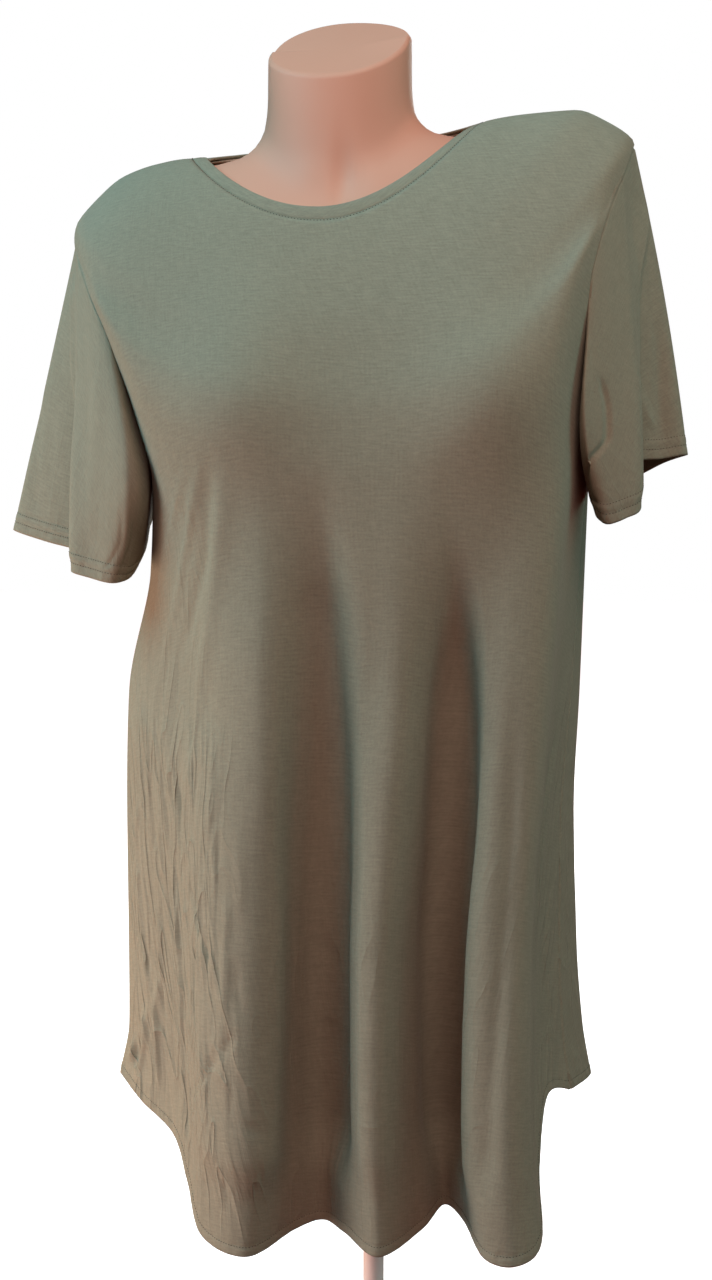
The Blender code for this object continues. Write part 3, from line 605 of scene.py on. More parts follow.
class Surface:
    """A grid of points on a piece's outer face, row by row from its top, facing out."""

    def __init__(self, points, ring, crumple=None, grain=None):
        """Work out the directions that face out of the grid."""
        self.points = points
        self.ring = ring
        self.crumple = np.zeros(points.shape[:2]) if crumple is None else crumple
        self.grain = grain
        if ring:
            wrapped = np.concatenate([points[:, -1:], points, points[:, :1]], axis=1)
            along = wrapped[:, 2:] - wrapped[:, :-2]
        else:
            along = np.gradient(points, axis=1)
        down = np.gradient(points, axis=0)
        normals = np.cross(down, along)
        self.normals = normals / np.linalg.norm(normals, axis=2, keepdims=True).clip(1e-12)

    def raised(self, heights):
        """The surface moved out along its own directions."""
        return Surface(self.points + self.normals * heights[..., None], self.ring, self.crumple, self.grain)

    def runs(self):
        """The way along the cloth to each point: across each row, and down each column."""
        steps = np.linalg.norm(np.diff(self.points, axis=1), axis=2)
        across = np.concatenate([np.zeros((len(steps), 1)), np.cumsum(steps, axis=1)], axis=1)
        steps = np.linalg.norm(np.diff(self.points, axis=0), axis=2)
        down = np.concatenate([np.zeros((1, steps.shape[1])), np.cumsum(steps, axis=0)], axis=0)
        return across, down

    def line_at(self, distance, from_hem=True):
        """Points and directions on a line that keeps its distance from the hem or from the top."""
        down = self.runs()[1]
        run = down[-1:] - down if from_hem else down
        order = slice(None, None, -1) if from_hem else slice(None)
        points, normals = [], []
        for i in range(self.points.shape[1]):
            keys = run[order, i]
            points.append([np.interp(distance, keys, self.points[order, i, k]) for k in range(3)])
            normals.append([np.interp(distance, keys, self.normals[order, i, k]) for k in range(3)])
        return np.array(points), np.array(normals)


def fold_heights(out, z, folds):
    """How far a list of folds raises each point of a grid."""
    heights = np.zeros_like(z)
    for fold in folds:
        path = np.array(fold.path)[::-1]
        low, high = path[0, 1], path[-1, 1]
        lean = (path[-1, 0] - path[0, 0]) / (high - low)
        off = (out - through(path[:, 1], path[:, 0], z)) / math.hypot(1.0, lean)
        fade = soft_step(0.0, fold.fade_top, high - z) * soft_step(0.0, fold.fade_bottom, z - low)
        heights += fold.height * bell(off, np.where(off < 0, fold.left, fold.right)) * fade
    return heights


def wrinkles(patches):
    """Fine folds scattered over some patches, most of them upright and none alike."""
    folds = []
    for patch in patches:
        draw = random.Random(patch.seed)
        for _ in range(patch.count):
            length = draw.uniform(patch.short, patch.long)
            out = draw.uniform(patch.out_low, patch.out_high)
            top = draw.uniform(patch.z_low + length, patch.z_high)
            lean = draw.uniform(-0.10, 0.16) * length
            bow = draw.uniform(-0.05, 0.05) * length
            width = patch.width * draw.uniform(0.8, 1.6)
            height = patch.height * draw.choice((-1.0, 1.0, 1.0)) * draw.uniform(0.5, 1.5)
            path = ((out, top), (out - lean / 2 + bow, top - length / 2), (out - lean, top - length))
            right = width * draw.uniform(0.8, 1.6)
            folds.append(Fold(path, width, right, height, length * 0.45, length * 0.45))
    return folds


def crumpled(out, z, zones):
    """How crumpled each point of a grid is, from some zones with soft borders."""
    strength = np.zeros_like(z)
    for zone in zones:
        inside = between(zone.out_low, zone.out_high, zone.border, out)
        inside = inside * between(zone.z_low, zone.z_high, zone.border, z)
        strength = np.maximum(strength, inside * zone.strength)
    return strength


def faces_of(*corners):
    """Faces as lists, from one array of point numbers for each corner."""
    return np.stack(corners, axis=-1).reshape(-1, len(corners)).tolist()


def grid_faces(number, turned=False):
    """The four-sided faces of a grid of point numbers, or the same ones facing the other way."""
    start, below, far, beside = number[:-1, :-1], number[1:, :-1], number[1:, 1:], number[:-1, 1:]
    return faces_of(start, beside, far, below) if turned else faces_of(start, below, far, beside)


def numbered(shape, ring, first=0):
    """The numbers of a grid's points, with the first column again at the end of a ring."""
    number = np.arange(shape[0] * shape[1]).reshape(shape[:2]) + first
    return np.concatenate([number, number[:, :1]], axis=1) if ring else number


def modelled(name, points, faces, finish, place=None):
    """A new smooth piece in the scene, with the place of each of its points in a UV map."""
    mesh = bpy.data.meshes.new(name)
    mesh.from_pydata(points.reshape(-1, 3).tolist(), [], faces)
    if place is not None:
        corners = np.empty(len(mesh.loops), np.int32)
        mesh.loops.foreach_get("vertex_index", corners)
        layer = mesh.uv_layers.new(name="cloth")
        layer.data.foreach_set("uv", place[corners].astype(np.float32).reshape(-1))
    mesh.shade_smooth()
    mesh.materials.append(finish)
    piece = bpy.data.objects.new(name, mesh)
    bpy.context.scene.collection.objects.link(piece)
    return piece


def shell(name, surface, wall, finish):
    """A thin closed wall under a surface, half as fine inside, with the way along the cloth in its UV map."""

    def both(values):
        """The values of the outer face's points, then those of the inner face's."""
        width = 1 if values.ndim == 2 else values.shape[2]
        return np.concatenate([values.reshape(-1, width), values[::2, ::2].reshape(-1, width)])

    def rim(out, inn):
        """Faces that join an edge of the outer face to the same edge of the inner one."""
        return faces_of(inn[:-1], out[0:-2:2], out[1:-1:2], out[2::2], inn[1:])

    outer = surface.points
    inner = (outer - surface.normals * wall)[::2, ::2]
    number = numbered(outer.shape, surface.ring)
    inside = numbered(inner.shape, surface.ring, outer.shape[0] * outer.shape[1])
    faces = grid_faces(number) + grid_faces(inside, turned=True)
    faces += rim(number[0], inside[0]) + rim(number[-1, ::-1], inside[-1, ::-1])
    if not surface.ring:
        faces += rim(number[::-1, 0], inside[::-1, 0]) + rim(number[:, -1], inside[:, -1])
    across, down = surface.runs()
    place = np.stack([across, -down], axis=-1) if surface.grain is None else surface.grain
    points = np.concatenate([outer.reshape(-1, 3), inner.reshape(-1, 3)])
    piece = modelled(name, points, faces, finish, both(place))
    crumple = piece.data.attributes.new("crumple", "FLOAT", "POINT")
    crumple.data.foreach_set("value", both(surface.crumple).reshape(-1).astype(np.float32))
    return piece


def settled(piece, slot, *nodes):
    """A piece that rides with the shirt and hides the parts of some nodes; the slot is not used."""
    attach(piece, BODY)
    if nodes:
        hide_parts(*nodes)
    return piece


def sewn_relief(along, from_edge, rows, turned_up, settings):
    """A turned-up edge: a little thicker, drawn in under each row of stitches and puckered round it."""
    relief = settings.hem_rise * (1 - soft_step(turned_up - 0.0005, turned_up + 0.0010, from_edge))
    for row in rows:
        relief -= settings.stitch_dent * bell(from_edge - row, DENT_WIDTH)
    ripple = np.zeros_like(along)
    for length, share in RIPPLES:
        drift = RIPPLE_DRIFT * length * np.sin(along / RIPPLE_DRIFT_LENGTH)
        ripple += share * np.sin(2 * np.pi * along / length + drift)
    return relief + settings.hem_pucker * ripple * bell(from_edge - rows[0], PUCKER_WIDTH)


def panel_surface(half, columns, folds, zones, settings):
    """The outer face of the front or back, with its folds, seams and hem."""
    turns = hem_turns(half, columns)
    levels = even_levels(half, BAND_LEVEL + BAND_GAP * LEVELS_PER_METRE, PANEL_ROWS)
    points = shirt_points(half, turns[None, :], levels[:, None])
    points[..., 1] += half * SEAM_GAP / 4
    surface = Surface(points, ring=False)
    across, down = surface.runs()
    out = (across - across[:, columns // 2][:, None]) * -half
    z = points[..., 2]
    surface.crumple = crumpled(out, z, zones)
    surface.grain = np.stack([out, z - half * GRAIN_LEAN * points[..., 1]], axis=-1)
    from_seam = np.minimum(across, across[:, -1:] - across)
    calm = (1.0 - bell(from_seam, CALM_AT_SEAM)) * soft_step(0.0, CALM_AT_NECK, down)
    heights = fold_heights(out, z, folds) * settings.fold_height * calm
    heights -= settings.seam_depth * bell(from_seam, settings.seam_width)
    heights += sewn_relief(across, down[-1:] - down, (settings.hem_stitch,), settings.hem_stitch, settings)
    heights -= settings.stitch_dent / 3 * bell(down - settings.neck_stitch, DENT_WIDTH)
    return surface.raised(heights)


def armhole_points(side, shares):
    """Points of the armhole's seam; shares run from the shoulder tip, down the front and up the back."""
    levels = SHOULDER_LEVEL + (UNDERARM_LEVEL - SHOULDER_LEVEL) * 2 * np.minimum(shares, 1 - shares)
    front, back = (
        shirt_points(half, 0.0 if side < 0 else len(hem_table(half)) - 1.0, levels) for half in (-1, 1)
    )
    return np.where((shares < 0.5)[..., None], front, back)


def sleeve_surface(side, cuff, fill, folds, settings):
    """The outer face of a sleeve, from the armhole's seam to its hem."""
    turns = np.linspace(0.0, len(cuff), SLEEVE_COLUMNS + 1)[:-1]
    if side > 0:
        turns = turns[::-1]
    shares = through(range(len(cuff) + 1), [*(row.share for row in cuff), 1.0], turns)
    hem = along_points(cuff, turns, closed=True)[:, 1:]
    facing_up = np.cos(2 * np.pi * shares)
    start = armhole_points(side, shares)
    start[:, 0] += side * (SEAM_GAP + WALL * np.abs(facing_up) - settings.seam_tuck)
    length = np.linalg.norm(hem - start, axis=1).mean()
    down = (spaced(length, SLEEVE_ROWS, SEWN_SEAM) / length)[:, None]
    points = start[None] * (1 - down[..., None]) + hem[None] * down[..., None]
    points[..., 0] += side * fill.bow * np.sin(np.pi * down) * facing_up.clip(0.0)[None]
    near = bell(shares - fill.share, np.where(shares < fill.share, fill.before, fill.after))[None]
    full = np.sin(np.pi * down.clip(0.0, 1.0)) ** FILL_ROUNDNESS * near
    points[..., 0] -= side * fill.inwards * full
    points[..., 1] -= fill.forwards * full
    surface = Surface(points, ring=True)
    across, run = surface.runs()
    total = across[:, -1:]
    out = np.where(across > total / 2, across - total, across) * -side
    z = points[..., 2]
    surface.crumple = crumpled(out, z, SLEEVE_ZONES)
    from_hem = run[-1:] - run
    near_hem = soft_step(-CALM_AT_CUFF[0], -CALM_AT_CUFF[1], -from_hem)
    calm = soft_step(0.0, CALM_AT_SEAM, run) * (1 - CUFF_CALM * near_hem)
    heights = fold_heights(out, z, folds) * settings.fold_height * calm
    heights -= settings.seam_depth * bell(run, settings.seam_width)
    rows = (settings.cuff_stitch_low, settings.cuff_stitch_high)
    heights += sewn_relief(across, from_hem, rows, settings.cuff_stitch_high, settings)
    return surface.raised(heights)


def make_draped(name, surface, finish):
    """A panel or sleeve as one thin sheet that hangs on the form."""
    SURFACES[name] = surface
    piece = settled(shell(name + "_cloth", surface, WALL, finish), "khaki_jersey", name)


def bead_of_thread():
    """Points and faces of one stitch, a rounded bead one metre long, always in the same order."""
    bpy.ops.object.select_all(action="DESELECT")
    bpy.ops.mesh.primitive_uv_sphere_add(segments=6, ring_count=4, radius=0.5, location=(0.0, 0.0, 0.0))
    bead = bpy.context.object
    bpy.ops.object.mode_set(mode="EDIT")
    bpy.ops.mesh.select_all(action="SELECT")
    bpy.ops.transform.resize(value=(1.0, 0.8, 1.0))
    bpy.ops.object.mode_set(mode="OBJECT")
    mesh = bead.data
    places = [tuple(round(value, 6) for value in vertex.co) for vertex in mesh.vertices]
    order = sorted(range(len(places)), key=places.__getitem__)
    points = np.array([list(mesh.vertices[i].co) for i in order])
    faces = [[order.index(i) for i in face.vertices] for face in mesh.polygons]
    starts = [face.index(min(face)) for face in faces]
    faces = sorted(face[start:] + face[:start] for face, start in zip(faces, starts))
    bpy.data.objects.remove(bead)
    bpy.data.meshes.remove(mesh)
    return points, faces


def stitch_row(name, line, closed, bead, settings, finish):
    """A row of stitches that follows a line on the cloth, as one piece."""
    points, normals = line
    if closed:
        points = np.concatenate([points, points[:1]])
        normals = np.concatenate([normals, normals[:1]])
    run = np.concatenate([[0.0], np.cumsum(np.linalg.norm(np.diff(points, axis=0), axis=1))])
    count = int(run[-1] / settings.stitch_pitch)
    middles = (np.arange(count) + 0.5) * run[-1] / count

    def read(values, at):
        """Values along the line, at some distances from its start."""
        return np.stack([np.interp(at, run, values[:, k]) for k in range(3)], axis=-1)

    def unit(values):
        """The same directions, one metre long."""
        return values / np.linalg.norm(values, axis=1, keepdims=True)

    width, length = settings.thread_width, settings.stitch_length
    along = unit(read(points, middles + length / 2) - read(points, middles - length / 2))
    side = unit(np.cross(unit(read(normals, middles)), along))
    up = np.cross(along, side)
    centres = read(points, middles) + up * width * 0.25
    shape, bead_faces = bead
    across = side[:, None] * shape[None, :, :1] * width + up[:, None] * shape[None, :, 1:2] * width
    corners = centres[:, None] + across + along[:, None] * shape[None, :, 2:] * length
    starts = range(0, count * len(shape), len(shape))
    faces = [[i + first for i in face] for first in starts for face in bead_faces]
    return settled(modelled(name, corners, faces, finish), "khaki_jersey")


def make_tape(finish):
    """The pale tape over the neckband's seam, inside the back from shoulder to shoulder."""
    turns = np.linspace(len(BACK_HEM) - 1.5, 0.5, TAPE_COLUMNS)
    levels = np.linspace(*TAPE_LEVELS, TAPE_ROWS)
    outside = Surface(shirt_points(1, turns[None, :], levels[:, None]), ring=False)
    depth = BAND_WALL - BAND_LIFT + TAPE_GAP
    inside = Surface(outside.points - outside.normals * depth, ring=False)
    across, down = inside.runs()
    tape = settled(shell("neck_tape_cloth", inside, TAPE_WALL, finish), "pale_tape", "neck_tape")
    return tape, float(across[:, -1].mean()), float(down[-1].mean())


def make_loop(finish):
    """The hanger loop: a folded strap bowed up from inside the tape."""
    levels = np.array([[LOOP_LEVEL], [LOOP_LEVEL + LEVEL_STEP]])
    turns = LOOP_TURN + np.array([LOOP_TURN_STEP, -LOOP_TURN_STEP])
    near = Surface(shirt_points(1, turns[None, :], levels), ring=False)
    middle = shirt_points(1, LOOP_TURN, LOOP_LEVEL)
    inward = -near.normals[0, 0]
    up = shirt_points(1, LOOP_TURN, 0.0) - middle
    up /= np.linalg.norm(up)
    along = np.cross(up, inward)
    foot = middle + inward * (BAND_WALL - BAND_LIFT + TAPE_WALL + 2 * TAPE_GAP)
    angles = np.linspace(0.0, np.pi, LOOP_COLUMNS)
    bow = LOOP_HALF_LENGTH * np.cos(angles)[:, None] * along + LOOP_RISE * np.sin(angles)[:, None] * up
    sizes = np.linspace(1.0, 1.0 - LOOP_STRAP_SHARE, LOOP_ROWS)[:, None, None]
    surface = Surface(foot + sizes * bow[None], ring=False)
    if np.dot(surface.normals[LOOP_ROWS // 2, LOOP_COLUMNS // 2], -inward) < 0:
        surface = Surface(surface.points[:, ::-1], ring=False)
    return settled(shell("neck_loop_strap", surface, LOOP_WALL, finish), "khaki_neckband", "neck_loop")


def disc(name, radius, low, high):
    """A flat-ended round in edit mode, ready to be shaped from one of its ends."""
    bpy.ops.object.select_all(action="DESELECT")
    bpy.ops.mesh.primitive_cylinder_add(
        vertices=ROUND_SIDES, radius=radius, depth=high - low, location=(0.0, 0.0, (low + high) / 2),
    )
    piece = bpy.context.object
    piece.name = name
    bpy.ops.object.transform_apply(location=True, rotation=True, scale=True)
    bpy.ops.object.mode_set(mode="EDIT")
    bpy.ops.mesh.select_mode(type="FACE")
    bpy.ops.mesh.select_all(action="DESELECT")
    return piece


def pick_end(piece, upwards):
    """Select the end face of a round that faces up or down and lies closest to its axis."""
    shape = bmesh.from_edit_mesh(piece.data)
    for face in shape.faces:
        face.select_set(False)
    ends = [
        face for face in shape.faces
        if face.normal.z * (1 if upwards else -1) > 0.9 and face.calc_center_median().xy.length < 1e-4
    ]
    ends[0].select_set(True)
    bmesh.update_edit_mesh(piece.data)


def narrowed(start, end):
    """Inset the selected end face from one radius to a smaller one."""
    bpy.ops.mesh.inset(thickness=(start - end) * math.cos(math.pi / ROUND_SIDES), depth=0.0)


def drawn(rise):
    """Extrude the selected end face up, or down where the rise is below 0."""
    bpy.ops.mesh.extrude_region_move(TRANSFORM_OT_translate={"value": (0.0, 0.0, rise)})


def rims_rounded(piece, rims, size):
    """Bevel the round edges at some radii and heights."""
    shape = bmesh.from_edit_mesh(piece.data)
    bpy.ops.mesh.select_mode(type="EDGE")
    for edge in shape.edges:
        edge.select_set(any(
            all(abs(v.co.z - z) < 2e-4 and abs(v.co.xy.length - radius) < 5e-4 for v in edge.verts)
            for radius, z in rims
        ))
    bmesh.update_edit_mesh(piece.data)
    bpy.ops.mesh.bevel(offset=size, segments=3, affect="EDGES", clamp_overlap=True)
    bpy.ops.object.mode_set(mode="OBJECT")
    piece.data.shade_smooth()
    bpy.ops.object.shade_smooth_by_angle(angle=math.radians(SHARP_ANGLE))


def socketed(name, radius, low, high, end, rise, bore, bore_rise, edge):
    """A plate with a bored socket that rises from its upper or lower end."""
    plate = disc(name, radius, low, high)
    pick_end(plate, rise > 0)
    narrowed(radius, SOCKET_RADIUS)
    drawn(rise)
    narrowed(SOCKET_RADIUS, bore)
    drawn(bore_rise)
    rims_rounded(plate, [(radius, edge), (SOCKET_RADIUS, end + rise), (bore, end + rise)], RIM_SIZE)
    return plate


def make_stand(stand, finish):
    """The round base with its socket, the pole, and the flange that carries the form."""
    bore = stand.pole_radius + POLE_CLEARANCE
    thick = stand.base_thickness
    bore_floor = thick + SOCKET_HEIGHT - SOCKET_BORE_DEPTH
    base = socketed(
        "base_plate", stand.base_radius, 0.0, thick, thick, SOCKET_HEIGHT, bore, -SOCKET_BORE_DEPTH, thick,
    )
    flange_top = FORM_BOTTOM_Z - POLE_CLEARANCE
    plate_bottom = flange_top - FLANGE_THICKNESS
    low, high = bore_floor + POLE_CLEARANCE, plate_bottom - POLE_CLEARANCE
    pole = disc("pole_tube", stand.pole_radius, low, high)
    rims_rounded(pole, [(stand.pole_radius, low), (stand.pole_radius, high)], POLE_RIM_SIZE)
    flange = socketed(
        "flange_plate", FLANGE_RADIUS, plate_bottom, flange_top, plate_bottom, -SOCKET_HEIGHT, bore,
        SOCKET_HEIGHT, plate_bottom,
    )
    for piece, node in ((base, "stand_base"), (pole, "stand_pole"), (flange, "stand_flange")):
        piece.data.materials.append(finish)
        settled(piece, "white_steel", node)


class Value:
    """A socket of a material; sums and products of these add Math nodes."""

    def __init__(self, finish, socket):
        """Keep the socket and the material that it belongs to."""
        self.finish = finish
        self.socket = socket

    def maths(self, operation, first, second):
        """One Math node over two values or numbers."""
        return self.finish.add("ShaderNodeMath", {"operation": operation}, {0: first, 1: second})

    def __add__(self, other):
        """This value and another."""
        return self.maths("ADD", self, other)

    def __radd__(self, other):
        """A number and this value."""
        return self.maths("ADD", other, self)

    def __sub__(self, other):
        """This value less another."""
        return self.maths("SUBTRACT", self, other)

    def __rsub__(self, other):
        """A number less this value."""
        return self.maths("SUBTRACT", other, self)

    def __mul__(self, other):
        """This value times another."""
        return self.maths("MULTIPLY", self, other)


class Finish:
    """A material, with one method for its nodes."""

    def __init__(self, name, constants):
        """Make the material and set what stays the same all over it."""
        self.material = bpy.data.materials.new(name)
        self.material.use_nodes = True
        self.nodes = self.material.node_tree.nodes
        self.links = self.material.node_tree.links
        self.shader = self.nodes["Principled BSDF"]
        for socket, value in constants.items():
            self.shader.inputs[socket].default_value = value

    def add(self, kind, settings, sockets, output=0):
        """A node of a kind, with its settings made first, then the values or links of its sockets."""
        node = self.nodes.new(kind)
        for name, value in settings.items():
            setattr(node, name, value)
        for name, value in sockets.items():
            if isinstance(value, Value):
                self.links.new(value.socket, node.inputs[name])
            else:
                node.inputs[name].default_value = value
        return Value(self, node.outputs[output])

    def feed(self, socket, value):
        """Link a value to one socket of the shader."""
        self.links.new(value.socket, self.shader.inputs[socket])

    def on_cloth(self):
        """The place along the cloth, from the piece's own UV map."""
        return self.add("ShaderNodeUVMap", {"uv_map": "cloth"}, {})

    def in_object(self):
        """The place in the piece's own coordinates."""
        return self.add("ShaderNodeTexCoord", {}, {}, output=3)

    def noise(self, place, scale, detail=2.0, roughness=0.5, distortion=0.0):
        """A soft noise about 0.5."""
        return self.add("ShaderNodeTexNoise", {}, {
            "Vector": place, "Scale": scale, "Detail": detail, "Roughness": roughness,
            "Distortion": distortion,
        })

    def bands(self, place, direction, width):
        """Straight bands of a width, across one direction."""
        return self.add("ShaderNodeTexWave", {"wave_type": "BANDS", "bands_direction": direction}, {
            "Vector": place, "Scale": BAND_SPAN / width, "Distortion": 0.0,
        }, output=1)

    def bump(self, height, strength, distance, **under):
        """The direction of a surface that a height raises."""
        sockets = {"Height": height, "Strength": strength, "Distance": distance, **under}
        return self.add("ShaderNodeBump", {}, sockets)

    def stretched(self, place, x, y, z=1.0):
        """A place whose three ways are stretched apart."""
        return self.add("ShaderNodeMapping", {}, {"Vector": place, "Scale": (x, y, z)})

    def shaded(self, colour, share):
        """A colour made lighter or darker by a share about 1."""
        white = self.add("ShaderNodeCombineXYZ", {}, {0: share, 1: share, 2: share})
        return self.add("ShaderNodeVectorMath", {"operation": "MULTIPLY"}, {0: tuple(colour), 1: white})


def jersey(name, settings):
    """Fine single jersey: knitted wales and courses, slubby streaks and a soft bloom."""
    finish = Finish(name, {
        "Roughness": 0.88,
        "Sheen Weight": settings.sheen,
        "Sheen Roughness": 0.45,
        "Sheen Tint": (0.80, 0.84, 0.72, 1.0),
        "Specular IOR Level": 0.30,
    })
    place = finish.on_cloth()
    wales = finish.bands(place, "X", settings.wale_width)
    courses = finish.bands(place, "Y", settings.course_height)
    slubs = finish.noise(finish.stretched(place, 90.0, 650.0), 1.0, 3.0)
    ladders = finish.noise(finish.stretched(place, 560.0, 60.0), 1.0)
    grain = finish.noise(place, 600.0, roughness=0.7)
    clouds = finish.noise(place, 14.0)
    share = 1.0 + (clouds - 0.5) * 0.10 + (slubs - 0.5) * 0.46 + (ladders - 0.5) * 0.22 + (grain - 0.5) * 0.40
    finish.feed("Base Color", finish.shaded(settings.khaki, share))
    relief = wales * 0.25 + courses * 0.15 + slubs * 0.8 + ladders * 0.7
    knit = finish.bump(relief, settings.knit_bump, 0.0004)
    crumple = finish.add("ShaderNodeAttribute", {"attribute_name": "crumple"}, {}, output=2)
    soft = finish.noise(finish.stretched(place, 62.0, 13.0), 1.0, 3.0, 0.45, 0.7)
    sharp = finish.noise(finish.stretched(place, 38.0, 9.0), 1.0, 1.5, 0.4, 1.2)
    ridge = finish.add("ShaderNodeMath", {"operation": "ABSOLUTE"}, {0: sharp - 0.5})
    crest = finish.add("ShaderNodeMath", {"operation": "POWER"}, {0: 1.0 - ridge, 1: 24.0})
    wrinkled = (soft * 1.3 + crest * 0.35) * crumple
    finish.feed("Normal", finish.bump(wrinkled, 1.0, settings.crumple_depth, Normal=knit))
    return finish.material


def thread(name, colour):
    """Twisted sewing thread."""
    finish = Finish(name, {"Roughness": 0.7, "Specular IOR Level": 0.3})
    clouds = finish.noise(finish.in_object(), 300.0)
    finish.feed("Base Color", finish.shaded(colour, 1.0 + (clouds - 0.5) * 0.5))
    return finish.material


def twill(name, colour):
    """Woven cotton tape with a fine slanting twill."""
    finish = Finish(name, {"Roughness": 0.85, "Specular IOR Level": 0.25})
    place = finish.on_cloth()
    slant = (0.0, 0.0, math.radians(63.0))
    turned = finish.add("ShaderNodeMapping", {}, {"Vector": place, "Rotation": slant})
    ribs = finish.bands(turned, "X", 0.0007)
    clouds = finish.noise(place, 200.0)
    finish.feed("Base Color", finish.shaded(colour, 0.9 + ribs * 0.12 + (clouds - 0.5) * 0.1))
    finish.feed("Normal", finish.bump(ribs, 0.5, 0.0003))
    return finish.material


def powder_coat(name, colour):
    """Steel with a baked powder coat: hard, slightly glossy, with a fine orange peel."""
    finish = Finish(name, {"Roughness": 0.35, "Specular IOR Level": 0.5})
    place = finish.in_object()
    clouds = finish.noise(place, 14.0, 3.0)
    finish.feed("Base Color", finish.shaded(colour, 1.0 + (clouds - 0.5) * 0.05))
    finish.feed("Roughness", 0.30 + clouds * 0.12)
    finish.feed("Normal", finish.bump(finish.noise(place, 420.0), 0.12, 0.0004))
    return finish.material


def moulded_plastic(name, settings):
    """Blow-moulded plastic: soft clouds of colour and a fine grain."""
    finish = Finish(name, {"Roughness": settings.roughness, "Specular IOR Level": 0.22})
    place = finish.in_object()
    clouds = finish.noise(place, 9.0, 3.0)
    finish.feed("Base Color", finish.shaded(settings.plastic, 1.0 + (clouds - 0.5) * 0.06))
    finish.feed("Normal", finish.bump(finish.noise(place, 900.0), settings.grain, 0.0003))
    return finish.material


def make_neckband(finish):
    """The doubled band: a flat fold of cloth with a soft edge, round the whole neckline."""
    rings = []
    for level, depth in BAND_PROFILE:
        levels = np.array([[level], [level + LEVEL_STEP]])
        near = [
            Surface(shirt_points(half, hem_turns(half, BAND_COLUMNS)[None, :], levels), ring=False)
            for half in (-1, 1)
        ]
        ring = np.concatenate([surface.points[0, :-1] for surface in near])
        normals = np.concatenate([surface.normals[0, :-1] for surface in near])
        normals = (normals + np.roll(normals, 1, axis=0) + np.roll(normals, -1, axis=0)) / 3
        rings.append(ring + normals * depth)
    points = np.array(rings)
    number = numbered(points.shape, True)
    faces = grid_faces(np.concatenate([number, number[:1]], axis=0), turned=True)
    across, down = Surface(points, ring=True).runs()
    place = np.stack([across, -down], axis=-1).reshape(-1, 2)
    piece = modelled("neckband_cloth", points, faces, finish, place)
    settled(piece, "khaki_neckband", "neckband")


def form_points(half, turns, levels):
    """Points of the form: just under the cloth down to the bust, and slimmer than it below."""
    grid, low, high = (
        shirt_points(half, turns[None, :], at[:, None], lifted=False)
        for at in (levels, np.minimum(HEM_LEVEL, levels + LEVEL_STEP), np.maximum(0.0, levels - LEVEL_STEP))
    )
    normals = np.cross(low - high, np.gradient(grid, axis=1))
    normals /= np.linalg.norm(normals, axis=2, keepdims=True)
    edge = (turns == turns.min()) | (turns == turns.max())
    flat = edge[None, :] & (armhole_gap(levels) == 0.0)[:, None]
    normals[..., 1] = np.where(flat, 0.0, normals[..., 1])
    normals /= np.linalg.norm(normals, axis=2, keepdims=True)
    depth = through([BAND_LEVEL, 1.0], [FORM_UNDER_NECKLINE, FORM_UNDER_CLOTH], levels)[:, None, None]
    close = grid - normals * depth
    gap = np.maximum(armhole_gap(levels), FORM_SIDE_FLAT)[:, None]
    across = along_points(hem_table(half), turns)[:, 0][None, :]
    own = half_points(FORM_SECTIONS, levels[:, None] + 0 * across, half, across, gap)
    own = with_mounds(own, half, BUST)
    share = through(FORM_LEAVES_CLOTH, [0.0, 1.0], levels)[:, None, None]
    points = close + (own - close) * share
    points[..., 1] = half * np.maximum(half * points[..., 1], FORM_SIDE_FLAT)
    return points


def shrunk(ring, sizes):
    """Copies of a ring of points, drawn in towards its middle."""
    middle = ring.mean(axis=0)
    return np.array([middle + (ring - middle) * size for size in sizes])


def make_form(finish):
    """The limbless form in one smooth moulding, with a soft rim round its slanting neck cut."""
    halves = []
    for half in (-1, 1):
        turns = hem_turns(half, FORM_COLUMNS[half])
        across = along_points(hem_table(half), turns)[:, 0][None, :]
        levels = np.array([row.level for row in NECK_SECTIONS])[:, None] + 0 * across
        neck = half_points(NECK_SECTIONS, levels, half, across, FORM_SIDE_FLAT)
        halves.append(np.concatenate([neck, form_points(half, turns, np.array(FORM_LEVELS))]))
    rings = np.concatenate(halves, axis=1)
    steps = np.linalg.norm(np.diff(rings, axis=0), axis=2).mean(axis=1)
    run = np.concatenate([[0.0], np.cumsum(steps)])
    rim_end = run[1] * 2
    rows = [run[:2], np.linspace(0.0, rim_end, RIM_ROWS), np.linspace(rim_end, run[-1], FORM_ROWS)]
    body = through(run, rings, np.unique(np.concatenate(rows)))
    on_front = body[..., 1] < COLLARBONES_BEFORE
    body = np.where(on_front[..., None], with_mounds(body, -1, COLLARBONES), body)
    points = np.concatenate([shrunk(body[0], CAP_SIZES), body, shrunk(body[-1], FLOOR_SIZES)])
    number = numbered(points.shape, True)
    faces = grid_faces(number) + [number[0, :-1].tolist(), number[-1, :-1][::-1].tolist()]
    settled(modelled("dress_form_skin", points, faces, finish), "form_plastic", "dress_form")


def length_setting(name, description, default):
    """A setting in metres."""
    return bpy.props.FloatProperty(
        name=name, description=description, default=default, unit="LENGTH", precision=5,
    )


def share_setting(name, description, default, most=1.0):
    """A setting from 0 up to 1 or another most."""
    return bpy.props.FloatProperty(
        name=name, description=description, default=default, min=0.0, max=most, subtype="FACTOR",
    )


def colour_setting(name, description, default):
    """A colour."""
    return bpy.props.FloatVectorProperty(
        name=name, description=description, default=default, size=3, subtype="COLOR",
    )


def power_setting(name, description, default):
    """A light's power in watts."""
    return bpy.props.FloatProperty(name=name, description=description, default=default, unit="POWER")


